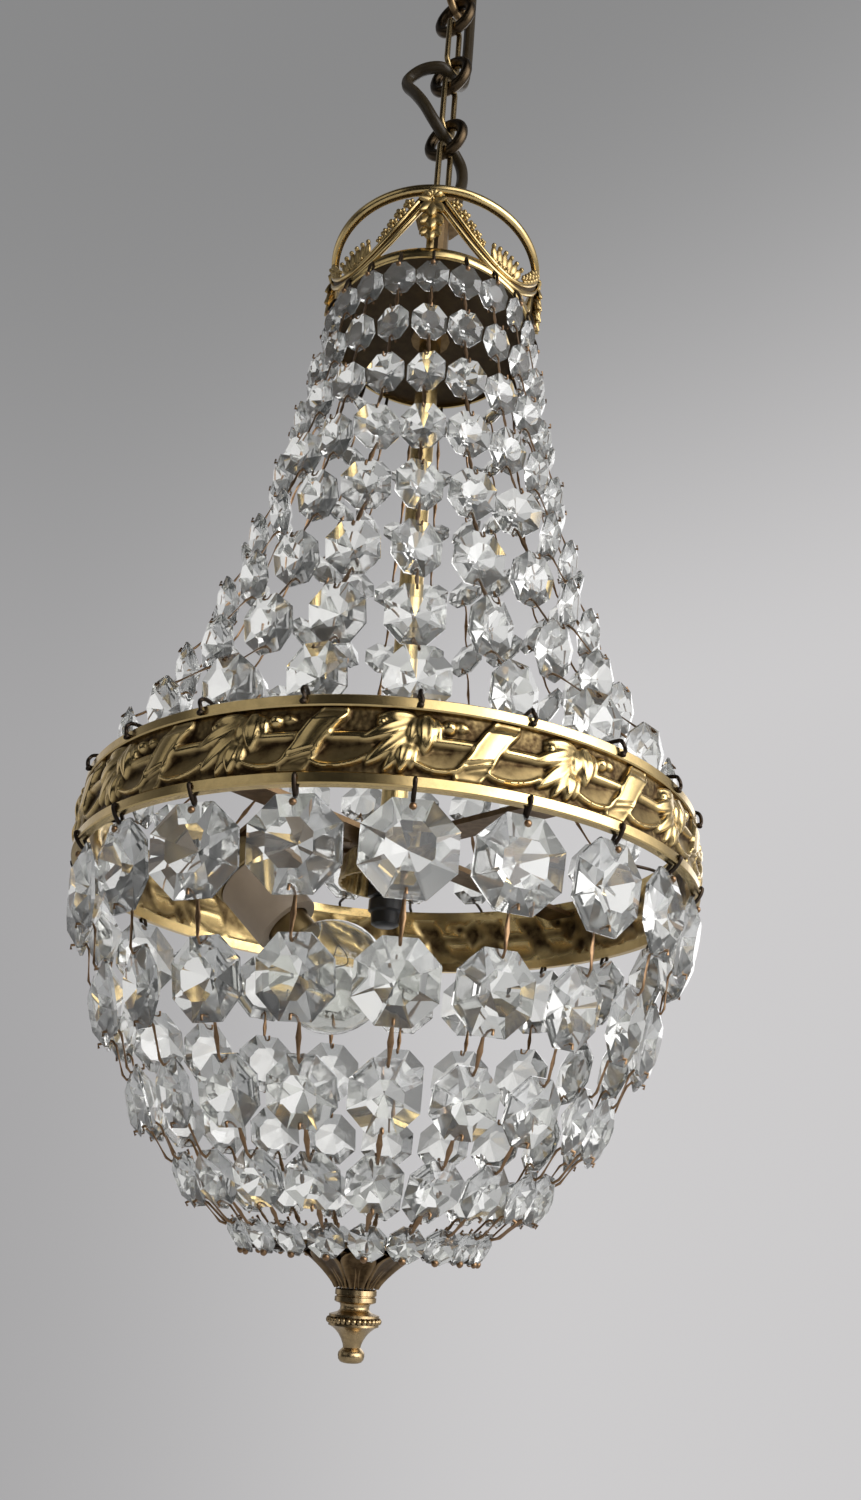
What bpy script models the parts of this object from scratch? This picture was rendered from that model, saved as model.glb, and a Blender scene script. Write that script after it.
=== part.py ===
"""Petite basket chandelier on its chain, hung from a ceiling hook plate.

The origin is the ceiling face of the hook plate, and everything hangs below it.
Sizes are in metres.
"""

import math

import bmesh
import bpy
from mathutils import Matrix, Vector

# Fits
GAP = 0.0003
FLATNESS = 0.000001

# Ceiling hook plate
PLATE_RADIUS = 0.020
PLATE_THICK = 0.004
HOOK_DROP = 0.046
HOOK_BEND = 0.008
HOOK_WIRE = 0.0042

# Chain of round rings and slim links
CHAIN_RINGS = 3
CHAIN_TURN = math.radians(-35.0)
RING_WIRE = 0.0058
RING_BEND = 0.0097
LINK_WIRE = 0.0030
LINK_LENGTH = 0.0400
LINK_SIDE_PLAY = 0.0006

# Flex laced through the chain
FLEX_DIAMETER = 0.006

# Stem: eye, cap, tube, collar and nut
EYE_BEND = 0.0065
EYE_WIRE = 0.0036
EYE_SEAT = 0.0010
CAP_RADIUS = 0.012
CAP_HEIGHT = 0.006
CAP_TAPER = 0.002
TUBE_RADIUS = 0.0050
TUBE_BORE = 0.0035
COLLAR_RADIUS = 0.009
COLLAR_HEIGHT = 0.003
NUT_RADIUS = 0.0075
NUT_HEIGHT = 0.005
TUBE_TAIL = 0.008

# Crown gallery
CROWN_BELOW_EYE = 0.0474
CROWN_HEIGHT = 0.041
CROWN_RIM_RADIUS = 0.0494
CROWN_RIM_HEIGHT = 0.0045
CROWN_RIM_WALL = 0.0034
CROWN_BAND_RADIUS = 0.0465
CROWN_BAND_HEIGHT = 0.005
CROWN_BAND_WALL = 0.0020
CROWN_PLATE_THICK = 0.0012
CROWN_PLATE_RISE = 0.002
CROWN_TURN = math.radians(-4.3)
SWAGS = 4
SWAG_WIDTH = 0.0050
SWAG_THICK = 0.0012
SWAG_STEPS = 10
SWAG_OVERLAP = math.radians(1.0)
PENDANT_WIDTH = 0.0090
PENDANT_THICK = 0.0018

# Main ring and its spider
TENT_DROP = 0.243
BAND_RADIUS = 0.110
BAND_HEIGHT = 0.0272
BAND_WALL = 0.0030
FILLET_HEIGHT = 0.0036
FIELD_DEPTH = 0.0017
FIELD_BEVEL = 0.0007
ARMS = 4
ARM_WIDTH = 0.012
ARM_THICK = 0.002
ARM_BELOW_BAND_TOP = 0.005
HUB_RADIUS = 0.015
HUB_CUP_RADIUS = 0.018
HUB_CUP_HEIGHT = 0.014
HUB_CUP_WALL = 0.001

# Lamp on its bracket
LAMP_BEARING = math.radians(-105.0)
LAMP_TILT = math.radians(45.0)
LAMP_REACH = 0.0633
LAMP_BELOW_ARM = 0.0037
BRACKET_TAB = 0.013
HOLDER_RADIUS = 0.0122
HOLDER_LENGTH = 0.038
HOLDER_RIM = 0.0005
HOLDER_SOCKET_RADIUS = 0.0085
HOLDER_SOCKET_DEPTH = 0.012
BULB_RADIUS = 0.020
BULB_NECK_RADIUS = 0.0078
BULB_LENGTH = 0.058

# Bead strands
STRANDS = 21
STRAND_BEARING = math.radians(2.7)
BEAD_SIDE_GAP = 0.0003
BEAD_TABLE = 0.50
BEAD_CROWN = 0.16
BEAD_PAVILION = 0.26
PIN_WIDTH = 0.0016
TENT_BEADS = 8
TENT_BEAD_SMALL = 0.0148
TENT_BEAD_LARGE = 0.0205
TENT_HOOK = 0.005
TENT_LAST_HOOK = 0.004
TENT_TOP_SLOPE = 0.10
TENT_FOOT_SLOPE = 1.00
TENT_PLUMB = 0.85
TENT_TIP = math.radians(18.0)
BASKET_BEADS = 5
BASKET_BEAD_LARGE = 0.0272
BASKET_BEAD_SMALL = 0.0128
BASKET_HOOK = 0.002
BASKET_DROP = 0.112
BASKET_TOP_SLOPE = 0.26
BASKET_FOOT_SLOPE = 0.60
BASKET_FOOT_OUT = 0.0052
BASKET_FOOT_SAG = 0.0035
BASKET_LAST_GAP = 0.0015
BASKET_PLUMB = 0.40

# Foot: base plate, leaf cup and finial
BASE_RADIUS = 0.028
BASE_THICK = 0.0015
STUD_RADIUS = 0.0018
STUD_REACH = 0.0050
CUP_RADIUS = 0.018
CUP_FOOT_RADIUS = 0.0062
CUP_HEIGHT = 0.0110
CUP_LEAVES = 12
CUP_FLUTE = 0.16
FINIAL_COLLAR = 0.0065
FINIAL_NECK = 0.0046
FINIAL_SKIRT = 0.0058
FINIAL_DISC = 0.0088
FINIAL_WAIST = 0.0026
FINIAL_BUTTON = 0.0040
FINIAL_LENGTH = 0.0203

# Roundness
FINE_STEPS = 48
MID_STEPS = 32
SMALL_STEPS = 12

# Levels worked out from the ceiling down
RING_HOLE = RING_BEND - RING_WIRE / 2
LINK_SEAT = RING_HOLE - GAP - LINK_WIRE / 2
LINK_HALF_WIDTH = (RING_WIRE + LINK_WIRE) / 2 + LINK_SIDE_PLAY
RING_TOP_LEVEL = -HOOK_DROP + HOOK_WIRE / 2 + GAP + RING_WIRE / 2 - RING_BEND
RING_PITCH = LINK_LENGTH + 2 * LINK_SEAT
LAST_LINK_FOOT = RING_TOP_LEVEL - CHAIN_RINGS * RING_PITCH + LINK_SEAT
EYE_LEVEL = LAST_LINK_FOOT - (EYE_BEND - EYE_WIRE / 2 - GAP - LINK_WIRE / 2)
CAP_LEVEL = EYE_LEVEL - EYE_BEND - EYE_WIRE / 2 + EYE_SEAT
CROWN_TOP = EYE_LEVEL - CROWN_BELOW_EYE
CROWN_FOOT = CROWN_TOP - CROWN_HEIGHT
CROWN_PLATE_FOOT = CROWN_FOOT + CROWN_PLATE_RISE
BAND_TOP = CROWN_FOOT - TENT_DROP
BAND_FOOT = BAND_TOP - BAND_HEIGHT
BAND_INNER = BAND_RADIUS - BAND_WALL
ARM_TOP = BAND_TOP - ARM_BELOW_BAND_TOP
ARM_FOOT = ARM_TOP - ARM_THICK
HUB_CUP_TOP = ARM_FOOT - GAP
NUT_TOP = HUB_CUP_TOP - HUB_CUP_WALL - GAP
TUBE_FOOT = NUT_TOP - NUT_HEIGHT - TUBE_TAIL
BASE_TOP = BAND_FOOT - BASKET_DROP
CUP_TOP = BASE_TOP - BASE_THICK - GAP
FINIAL_TOP = CUP_TOP - CUP_HEIGHT - GAP

BRASS = ((0.55, 0.41, 0.17), 0.30, 1.0)
OLD_BRASS = ((0.20, 0.14, 0.07), 0.40, 1.0)
DARK_BRASS = ((0.14, 0.10, 0.06), 0.45, 1.0)
CRYSTAL = ((0.90, 0.92, 0.93), 0.05, 0.0)
GLASS = ((0.80, 0.82, 0.82), 0.05, 0.0)
FLEX = ((0.16, 0.12, 0.08), 0.45, 0.0)


def clear_scene():
    for thing in list(bpy.data.objects):
        bpy.data.objects.remove(thing, do_unlink=True)


def new_collection(name):
    group = bpy.data.collections.new(name)
    bpy.context.scene.collection.children.link(group)
    return group


def finish(name, look):
    """A Principled material from a colour, a roughness and a metallic value."""
    colour, roughness, metallic = look
    made = bpy.data.materials.new(name)
    made.use_nodes = True
    shader = made.node_tree.nodes["Principled BSDF"]
    shader.inputs["Base Color"].default_value = (*colour, 1.0)
    shader.inputs["Roughness"].default_value = roughness
    shader.inputs["Metallic"].default_value = metallic
    return made


def place(name, data, look, group):
    """A sub-part from a mesh or curve, in its collection and with its own material."""
    piece = bpy.data.objects.new(name, data)
    group.objects.link(piece)
    data.materials.clear()
    data.materials.append(finish(name, look))
    return piece


def guide(name, data, group):
    """A shape that is only joined to another piece."""
    shape = bpy.data.objects.new(name, data)
    group.objects.link(shape)
    shape.hide_render = True
    shape.display_type = "WIRE"
    return shape


def mesh_from(bm, name):
    bmesh.ops.recalc_face_normals(bm, faces=bm.faces)
    mesh = bpy.data.meshes.new(name)
    bm.to_mesh(mesh)
    bm.free()
    return mesh


def profile_mesh(name, points, closed):
    """A profile of (radius, height) points in the XZ plane, for a Screw modifier."""
    bm = bmesh.new()
    corners = [bm.verts.new((radius, 0.0, height)) for radius, height in points]
    pairs = list(zip(corners, corners[1:]))
    if closed:
        pairs.append((corners[-1], corners[0]))
    for start, end in pairs:
        bm.edges.new((start, end))
    mesh = bpy.data.meshes.new(name)
    bm.to_mesh(mesh)
    bm.free()
    return mesh


def spin(piece, steps):
    turn = piece.modifiers.new("Turned", "SCREW")
    turn.axis = "Z"
    turn.steps = steps
    turn.render_steps = steps
    turn.use_merge_vertices = True
    turn.merge_threshold = 0.00001
    turn.use_smooth_shade = True


def join_to(piece, shape):
    join = piece.modifiers.new("Join " + shape.name, "BOOLEAN")
    join.operation = "UNION"
    join.solver = "EXACT"
    join.object = shape


def wire_mesh(name, points, radius, cyclic, resolution):
    """A round wire along a line of points, as a closed mesh."""
    curve = bpy.data.curves.new(name, "CURVE")
    curve.dimensions = "3D"
    curve.bevel_depth = radius
    curve.bevel_resolution = resolution
    curve.use_fill_caps = not cyclic
    spline = curve.splines.new("POLY")
    spline.points.add(len(points) - 1)
    for point, place_at in zip(spline.points, points):
        point.co = (*place_at, 1.0)
    spline.use_cyclic_u = cyclic
    holder = bpy.data.objects.new(name, curve)
    bpy.context.scene.collection.objects.link(holder)
    bpy.context.view_layer.update()
    evaluated = holder.evaluated_get(bpy.context.evaluated_depsgraph_get())
    mesh = bpy.data.meshes.new_from_object(evaluated)
    bpy.data.objects.remove(holder, do_unlink=True)
    bm = bmesh.new()
    bm.from_mesh(mesh)
    bmesh.ops.remove_doubles(bm, verts=bm.verts, dist=0.00001)
    bmesh.ops.recalc_face_normals(bm, faces=bm.faces)
    bm.to_mesh(mesh)
    bm.free()
    return mesh


def strip_mesh(name, stations):
    """A flat bar through stations of (centre, half width vector, half thickness vector)."""
    bm = bmesh.new()
    rows = []
    for centre, across, deep in stations:
        front = (centre + across + deep, centre - across + deep)
        corners = (*front, centre - across - deep, centre + across - deep)
        rows.append([bm.verts.new(corner) for corner in corners])
    loops = []
    for row in rows:
        loops.append([bm.edges.new((row[side], row[side - 1])) for side in range(4)])
    for upper, lower in zip(loops, loops[1:]):
        bmesh.ops.bridge_loops(bm, edges=upper + lower)
    bmesh.ops.contextual_create(bm, geom=loops[0])
    bmesh.ops.contextual_create(bm, geom=loops[-1])
    bmesh.ops.triangulate(bm, faces=bm.faces)
    return mesh_from(bm, name)


def torus_mesh(name, bend, wire, steps, sides):
    bpy.ops.mesh.primitive_torus_add(
        major_radius=bend, minor_radius=wire / 2, major_segments=steps, minor_segments=sides
    )
    holder = bpy.context.object
    mesh = holder.data
    mesh.name = name
    bpy.data.objects.remove(holder, do_unlink=True)
    mesh.transform(Matrix.Rotation(math.pi / 2, 4, "X"))
    return mesh


def chain_frame():
    """Directions along a chain ring's face and through its hole."""
    along = Vector((math.cos(CHAIN_TURN), math.sin(CHAIN_TURN), 0.0))
    through = Vector((-math.sin(CHAIN_TURN), math.cos(CHAIN_TURN), 0.0))
    return along, through


def hook_plate(parts, guides):
    points = ((0.0, 0.0), (PLATE_RADIUS, 0.0), (PLATE_RADIUS, -PLATE_THICK / 2))
    points += ((PLATE_RADIUS * 0.9, -PLATE_THICK), (0.0, -PLATE_THICK))
    plate = place("hook_plate", profile_mesh("hook_plate", points, False), OLD_BRASS, parts)
    spin(plate, MID_STEPS)
    _, through = chain_frame()
    bend_level = -HOOK_DROP + HOOK_BEND
    shank = [(0.0, -PLATE_THICK / 2), (0.0, bend_level + HOOK_BEND)]
    shank.append((HOOK_BEND * 0.6, bend_level + HOOK_BEND * 0.7))
    arc = [math.radians(angle) for angle in (10.0, -35.0, -90.0, -145.0, -190.0, -215.0)]
    shank += [(HOOK_BEND * math.cos(angle), bend_level + HOOK_BEND * math.sin(angle)) for angle in arc]
    route = [through * reach + Vector((0.0, 0.0, level)) for reach, level in shank]
    hook = guide("hook", wire_mesh("hook", route, HOOK_WIRE / 2, False, 1), guides)
    join_to(plate, hook)


def chain(parts):
    ring_mesh = torus_mesh("chain_ring", RING_BEND, RING_WIRE, 16, 6)
    straight = LINK_LENGTH / 2 - LINK_HALF_WIDTH
    route = []
    for side in (1, -1):
        for step in range(6):
            angle = math.pi * step / 5
            across = LINK_HALF_WIDTH * math.cos(angle) * side
            route.append(Vector((0.0, across, side * (straight + LINK_HALF_WIDTH * math.sin(angle)))))
    link_mesh = wire_mesh("chain_link", route, LINK_WIRE / 2, True, 1)
    for number in range(CHAIN_RINGS):
        ring_level = RING_TOP_LEVEL - number * RING_PITCH
        ring = place(f"chain_ring_{number + 1}", ring_mesh.copy(), DARK_BRASS, parts)
        ring.location.z = ring_level
        ring.rotation_euler.z = CHAIN_TURN
        link = place(f"chain_link_{number + 1}", link_mesh.copy(), DARK_BRASS, parts)
        link.location.z = ring_level - LINK_SEAT - LINK_LENGTH / 2
        link.rotation_euler.z = CHAIN_TURN


def smooth_route(points, spacing):
    """Even points on a Catmull-Rom curve through a route's own points."""
    ends = [points[0] * 2 - points[1]] + points + [points[-1] * 2 - points[-2]]
    fine = []
    for before, start, end, after in zip(ends, ends[1:], ends[2:], ends[3:]):
        for step in range(12):
            t = step / 12
            bend = start * 2 + (end - before) * t
            bend += (before * 2 - start * 5 + end * 4 - after) * t**2
            bend += (start * 3 - before - end * 3 + after) * t**3
            fine.append(bend / 2)
    fine.append(points[-1])
    lengths = [0.0]
    for start, end in zip(fine, fine[1:]):
        lengths.append(lengths[-1] + (end - start).length)
    count = round(lengths[-1] / spacing)
    even = []
    index = 0
    for step in range(count + 1):
        target = lengths[-1] * step / count
        while index < len(fine) - 2 and lengths[index + 1] < target:
            index += 1
        share = (target - lengths[index]) / (lengths[index + 1] - lengths[index])
        even.append(fine[index].lerp(fine[index + 1], share))
    return even


def flex_cord(parts):
    """Down behind the top ring, through the next two rings with a loop to the left, into the cap."""
    along, through = chain_frame()
    second = RING_TOP_LEVEL - RING_PITCH
    third = second - RING_PITCH
    lace = (
        (0.000, 0.0145, -PLATE_THICK - GAP),
        (0.000, 0.0145, RING_TOP_LEVEL + 0.015),
        (0.000, 0.0145, RING_TOP_LEVEL - 0.007),
        (0.000, 0.0140, second + 0.024),
        (0.000, 0.0115, second + 0.009),
        (0.000, 0.0055, second + 0.0010),
        (0.000, 0.0000, second),
        (-0.001, -0.0060, second - 0.0002),
        (-0.006, -0.0095, second - 0.0004),
        (-0.0130, -0.0110, second - 0.0004),
        (-0.0185, -0.0125, second - 0.0050),
        (-0.0175, -0.0140, second - 0.0130),
        (-0.0115, -0.0150, second - 0.0240),
        (-0.005, -0.0150, third + 0.0130),
        (-0.001, -0.0115, third + 0.0030),
        (0.000, -0.0050, third + 0.0003),
        (0.000, 0.0000, third),
        (0.000, 0.0060, third - 0.0006),
        (0.002, 0.0120, third - 0.0070),
        (0.004, 0.0115, third - 0.020),
        (0.005, 0.0075, third - 0.036),
        (0.005, 0.0062, CAP_LEVEL + 0.010),
        (0.005, 0.0060, CAP_LEVEL + GAP),
    )
    points = [along * a + through * b + Vector((0.0, 0.0, z)) for a, b, z in lace]
    route = smooth_route(points, FLEX_DIAMETER * 1.2)
    place("flex_cord", wire_mesh("flex_cord", route, FLEX_DIAMETER / 2, False, 2), FLEX, parts)


def stem(parts, guides):
    """Cap with its eye, long tube, a collar under the crown plate and a nut under the hub."""
    collar_top = CROWN_PLATE_FOOT - GAP
    points = (
        (0.0, CAP_LEVEL),
        (CAP_RADIUS, CAP_LEVEL),
        (CAP_RADIUS, CAP_LEVEL - CAP_HEIGHT + CAP_TAPER),
        (TUBE_RADIUS, CAP_LEVEL - CAP_HEIGHT),
        (TUBE_RADIUS, collar_top),
        (COLLAR_RADIUS, collar_top),
        (COLLAR_RADIUS, collar_top - COLLAR_HEIGHT),
        (TUBE_RADIUS, collar_top - COLLAR_HEIGHT),
        (TUBE_RADIUS, NUT_TOP),
        (NUT_RADIUS, NUT_TOP),
        (NUT_RADIUS, NUT_TOP - NUT_HEIGHT),
        (TUBE_RADIUS, NUT_TOP - NUT_HEIGHT),
        (TUBE_RADIUS, TUBE_FOOT),
        (TUBE_BORE, TUBE_FOOT),
        (TUBE_BORE, CAP_LEVEL - CAP_HEIGHT),
        (0.0, CAP_LEVEL - CAP_HEIGHT),
    )
    tube = place("stem", profile_mesh("stem", points, False), BRASS, parts)
    spin(tube, SMALL_STEPS)
    eye = guide("eye", torus_mesh("eye", EYE_BEND, EYE_WIRE, 14, 6), guides)
    eye.location.z = EYE_LEVEL
    eye.rotation_euler.z = CHAIN_TURN
    join_to(tube, eye)


def crown_radius(level):
    """The middle of the gallery's wall, which leans out between its lower band and its rim."""
    band_top = CROWN_FOOT + CROWN_BAND_HEIGHT
    rim_foot = CROWN_TOP - CROWN_RIM_HEIGHT
    lean = min(1.0, max(0.0, (level - band_top) / (rim_foot - band_top)))
    foot_radius = CROWN_BAND_RADIUS - CROWN_BAND_WALL / 2
    top_radius = CROWN_RIM_RADIUS - CROWN_RIM_WALL / 2
    return foot_radius + lean * (top_radius - foot_radius)


def gallery_station(bearing, level, half_width, half_thick, slope):
    """A station of a flat strap that lies on the gallery's wall."""
    outward = Vector((math.sin(bearing), -math.cos(bearing), 0.0))
    sideways = Vector((math.cos(bearing), math.sin(bearing), 0.0))
    centre = outward * crown_radius(level) + Vector((0.0, 0.0, level))
    across = Vector((0.0, 0.0, math.cos(slope))) + sideways * math.sin(slope)
    return centre, across * half_width, outward * half_thick


def crown_gallery(parts, guides):
    rim_inner = CROWN_RIM_RADIUS - CROWN_RIM_WALL
    rim_foot = CROWN_TOP - CROWN_RIM_HEIGHT
    rim = (
        (rim_inner, CROWN_TOP),
        (CROWN_RIM_RADIUS, CROWN_TOP),
        (CROWN_RIM_RADIUS, rim_foot),
        (rim_inner, rim_foot),
    )
    band_inner = CROWN_BAND_RADIUS - CROWN_BAND_WALL
    band_top = CROWN_FOOT + CROWN_BAND_HEIGHT
    plate_top = CROWN_PLATE_FOOT + CROWN_PLATE_THICK
    bore = TUBE_RADIUS + GAP
    band = (
        (band_inner, band_top),
        (CROWN_BAND_RADIUS, band_top),
        (CROWN_BAND_RADIUS, CROWN_FOOT),
        (band_inner, CROWN_FOOT),
        (band_inner, CROWN_PLATE_FOOT),
        (bore, CROWN_PLATE_FOOT),
        (bore, plate_top),
        (band_inner, plate_top),
    )
    gallery = place("crown_gallery", profile_mesh("crown_gallery", band, True), BRASS, parts)
    spin(gallery, MID_STEPS)
    rim_shape = guide("crown_rim", profile_mesh("crown_rim", rim, True), guides)
    spin(rim_shape, MID_STEPS)
    join_to(gallery, rim_shape)
    swag_top = rim_foot + SWAG_WIDTH * 0.3
    swag_foot = band_top - SWAG_WIDTH * 0.3
    for swag in range(SWAGS):
        middle = CROWN_TURN + 2 * math.pi * swag / SWAGS
        rim_middle = CROWN_TOP - CROWN_RIM_HEIGHT / 2
        band_middle = band_top - CROWN_BAND_HEIGHT / 2
        levels = (rim_middle, (CROWN_TOP + CROWN_FOOT) / 2, band_middle)
        stations = []
        for level, share in zip(levels, (1 / 4, 1 / 2, 1 / 3)):
            half = PENDANT_WIDTH * share
            stations.append(gallery_station(middle, level, half, PENDANT_THICK / 2, math.pi / 2))
        pendant = guide(f"pendant_{swag}", strip_mesh("pendant", stations), guides)
        join_to(gallery, pendant)
        stations = []
        for step in range(SWAG_STEPS + 1):
            t = step / SWAG_STEPS
            bearing = middle + SWAG_OVERLAP + t * (2 * math.pi / SWAGS - 2 * SWAG_OVERLAP)
            level = swag_top + (swag_foot - swag_top) * math.sin(t * math.pi)
            slope = math.radians(40.0) * math.cos(t * math.pi)
            stations.append(gallery_station(bearing, level, SWAG_WIDTH / 2, SWAG_THICK / 2, slope))
        join_to(gallery, guide(f"swag_{swag}", strip_mesh("swag", stations), guides))


def ring_band(parts):
    field = BAND_RADIUS - FIELD_DEPTH
    points = (
        (BAND_INNER, BAND_TOP),
        (BAND_RADIUS, BAND_TOP),
        (BAND_RADIUS, BAND_TOP - FILLET_HEIGHT),
        (field, BAND_TOP - FILLET_HEIGHT - FIELD_BEVEL),
        (field, BAND_FOOT + FILLET_HEIGHT + FIELD_BEVEL),
        (BAND_RADIUS, BAND_FOOT + FILLET_HEIGHT),
        (BAND_RADIUS, BAND_FOOT),
        (BAND_INNER, BAND_FOOT),
    )
    band = place("ring_band", profile_mesh("ring_band", points, True), BRASS, parts)
    spin(band, FINE_STEPS)


def lamp_tab():
    """Middle of the bracket's tab, in the lamp's own upright plane: reach and level."""
    return LAMP_REACH, ARM_TOP - LAMP_BELOW_ARM


def spider(parts, guides):
    """Hub, four flat arms to the ring, and the bent bracket that carries the lamp."""
    bore = TUBE_RADIUS + GAP
    points = ((bore, ARM_TOP), (HUB_RADIUS, ARM_TOP), (HUB_RADIUS, ARM_FOOT), (bore, ARM_FOOT))
    hub = place("spider", profile_mesh("spider", points, True), BRASS, parts)
    spin(hub, SMALL_STEPS)
    reach = BAND_INNER * math.cos(math.pi / FINE_STEPS) - GAP
    start = (bore + HUB_RADIUS) / 2
    flat = Vector((0.0, 0.0, ARM_THICK / 2))
    level = Vector((0.0, 0.0, ARM_FOOT + ARM_THICK / 2))
    for arm in range(ARMS):
        bearing = math.pi / ARMS + 2 * math.pi * arm / ARMS
        outward = Vector((math.sin(bearing), -math.cos(bearing), 0.0))
        sideways = Vector((math.cos(bearing), math.sin(bearing), 0.0)) * (ARM_WIDTH / 2)
        end = math.sqrt(reach**2 - (ARM_WIDTH / 2) ** 2)
        stations = ((outward * start + level, sideways, flat), (outward * end + level, sideways, flat))
        join_to(hub, guide(f"arm_{arm}", strip_mesh("arm", stations), guides))
    outward = Vector((math.sin(LAMP_BEARING), -math.cos(LAMP_BEARING), 0.0))
    sideways = Vector((math.cos(LAMP_BEARING), math.sin(LAMP_BEARING), 0.0)) * (ARM_WIDTH / 2)
    tab_reach, tab_level = lamp_tab()
    upright = Vector((0.0, 0.0, 1.0))
    tab_along = outward * math.cos(LAMP_TILT) - upright * math.sin(LAMP_TILT)
    tab_deep = (outward * math.sin(LAMP_TILT) + upright * math.cos(LAMP_TILT)) * (ARM_THICK / 2)
    middle = outward * tab_reach + upright * tab_level + tab_deep
    knee = middle - tab_along * BRACKET_TAB
    foot = middle + tab_along * BRACKET_TAB
    stations = (
        (outward * start + level, sideways, flat),
        (knee, sideways, flat),
        (foot, sideways, tab_deep),
    )
    join_to(hub, guide("lamp_bracket", strip_mesh("lamp_bracket", stations), guides))


def hub_cup(parts):
    bore = TUBE_RADIUS + GAP
    shoulder = (bore + HUB_CUP_RADIUS) / 2
    foot = HUB_CUP_TOP - HUB_CUP_HEIGHT
    waist = HUB_CUP_TOP - HUB_CUP_HEIGHT / 3
    wall = HUB_CUP_WALL
    points = (
        (bore, HUB_CUP_TOP),
        (shoulder, HUB_CUP_TOP),
        (HUB_CUP_RADIUS - wall, waist),
        (HUB_CUP_RADIUS, foot),
        (HUB_CUP_RADIUS - wall, foot),
        (HUB_CUP_RADIUS - 2 * wall, waist),
        (shoulder - wall / 2, HUB_CUP_TOP - wall),
        (bore, HUB_CUP_TOP - wall),
    )
    cup = place("hub_cup", profile_mesh("hub_cup", points, True), BRASS, parts)
    spin(cup, SMALL_STEPS)


def aim_lamp(piece, along):
    """Puts a piece on the lamp's tilted axis, a distance along it from the bracket's tab."""
    outward = Vector((math.sin(LAMP_BEARING), -math.cos(LAMP_BEARING), 0.0))
    axis = -outward * math.sin(LAMP_TILT) - Vector((0.0, 0.0, math.cos(LAMP_TILT)))
    tab_reach, tab_level = lamp_tab()
    piece.location = outward * tab_reach + Vector((0.0, 0.0, tab_level)) + axis * along
    piece.rotation_euler = (0.0, LAMP_TILT, LAMP_BEARING - math.pi / 2)


def lampholder(parts):
    lip = HOLDER_RADIUS + HOLDER_RIM
    points = (
        (0.0, 0.0),
        (HOLDER_RADIUS * 0.75, 0.0),
        (lip, -HOLDER_LENGTH * 0.12),
        (lip, -HOLDER_LENGTH * 0.34),
        (HOLDER_RADIUS, -HOLDER_LENGTH * 0.36),
        (HOLDER_RADIUS, -HOLDER_LENGTH),
        (HOLDER_SOCKET_RADIUS, -HOLDER_LENGTH),
        (HOLDER_SOCKET_RADIUS, -HOLDER_LENGTH + HOLDER_SOCKET_DEPTH),
        (0.0, -HOLDER_LENGTH + HOLDER_SOCKET_DEPTH),
    )
    holder = place("lampholder", profile_mesh("lampholder", points, False), BRASS, parts)
    spin(holder, SMALL_STEPS)
    aim_lamp(holder, GAP)


def bulb(parts):
    """Cap in the holder's socket, a neck, and a round clear globe."""
    cap = min(BULB_NECK_RADIUS, HOLDER_SOCKET_RADIUS - GAP)
    globe = -BULB_LENGTH + BULB_RADIUS
    first = math.asin(cap / BULB_RADIUS)
    points = [(0.0, 0.0), (cap, 0.0), (cap, -HOLDER_SOCKET_DEPTH)]
    for step in range(7):
        angle = first + (math.pi - first) * step / 6
        points.append((BULB_RADIUS * math.sin(angle), globe + BULB_RADIUS * math.cos(angle)))
    points[-1] = (0.0, -BULB_LENGTH)
    lamp = place("bulb", profile_mesh("bulb", points, False), GLASS, parts)
    spin(lamp, SMALL_STEPS)
    aim_lamp(lamp, HOLDER_LENGTH - HOLDER_SOCKET_DEPTH + 2 * GAP)


def base_plate(parts):
    """A thin plate that the basket is hooked to, with the stud that holds the cup and finial."""
    foot = BASE_TOP - BASE_THICK
    stud_foot = FINIAL_TOP - STUD_REACH
    points = (
        (0.0, BASE_TOP),
        (BASE_RADIUS, BASE_TOP),
        (BASE_RADIUS, foot),
        (STUD_RADIUS, foot),
        (STUD_RADIUS, stud_foot),
        (0.0, stud_foot),
    )
    plate = place("base_plate", profile_mesh("base_plate", points, False), OLD_BRASS, parts)
    spin(plate, STRANDS)


def leaf_cup(parts):
    """A flared cup of leaves, fluted between them."""
    steps = 4
    bore = STUD_RADIUS + GAP
    points = [(bore, CUP_TOP)]
    for step in range(steps):
        t = step / (steps - 1)
        radius = CUP_FOOT_RADIUS + (CUP_RADIUS - CUP_FOOT_RADIUS) * (1.0 - t) ** 1.1
        points.append((radius, CUP_TOP - CUP_HEIGHT * t))
    points.append((bore, CUP_TOP - CUP_HEIGHT))
    bm = bmesh.new()
    bm.from_mesh(profile_mesh("leaf_profile", points, True))
    bmesh.ops.spin(
        bm,
        geom=bm.verts[:] + bm.edges[:],
        axis=(0.0, 0.0, 1.0),
        cent=(0.0, 0.0, 0.0),
        angle=2 * math.pi,
        steps=2 * CUP_LEAVES,
        use_duplicate=False,
    )
    bmesh.ops.remove_doubles(bm, verts=bm.verts, dist=0.00001)
    for vert in bm.verts:
        if math.hypot(vert.co.x, vert.co.y) > bore + GAP:
            wave = 0.5 - 0.5 * math.cos(CUP_LEAVES * math.atan2(vert.co.y, vert.co.x))
            shrink = 1.0 - CUP_FLUTE * wave
            vert.co.x *= shrink
            vert.co.y *= shrink
    place("leaf_cup", mesh_from(bm, "leaf_cup"), OLD_BRASS, parts)


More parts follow.
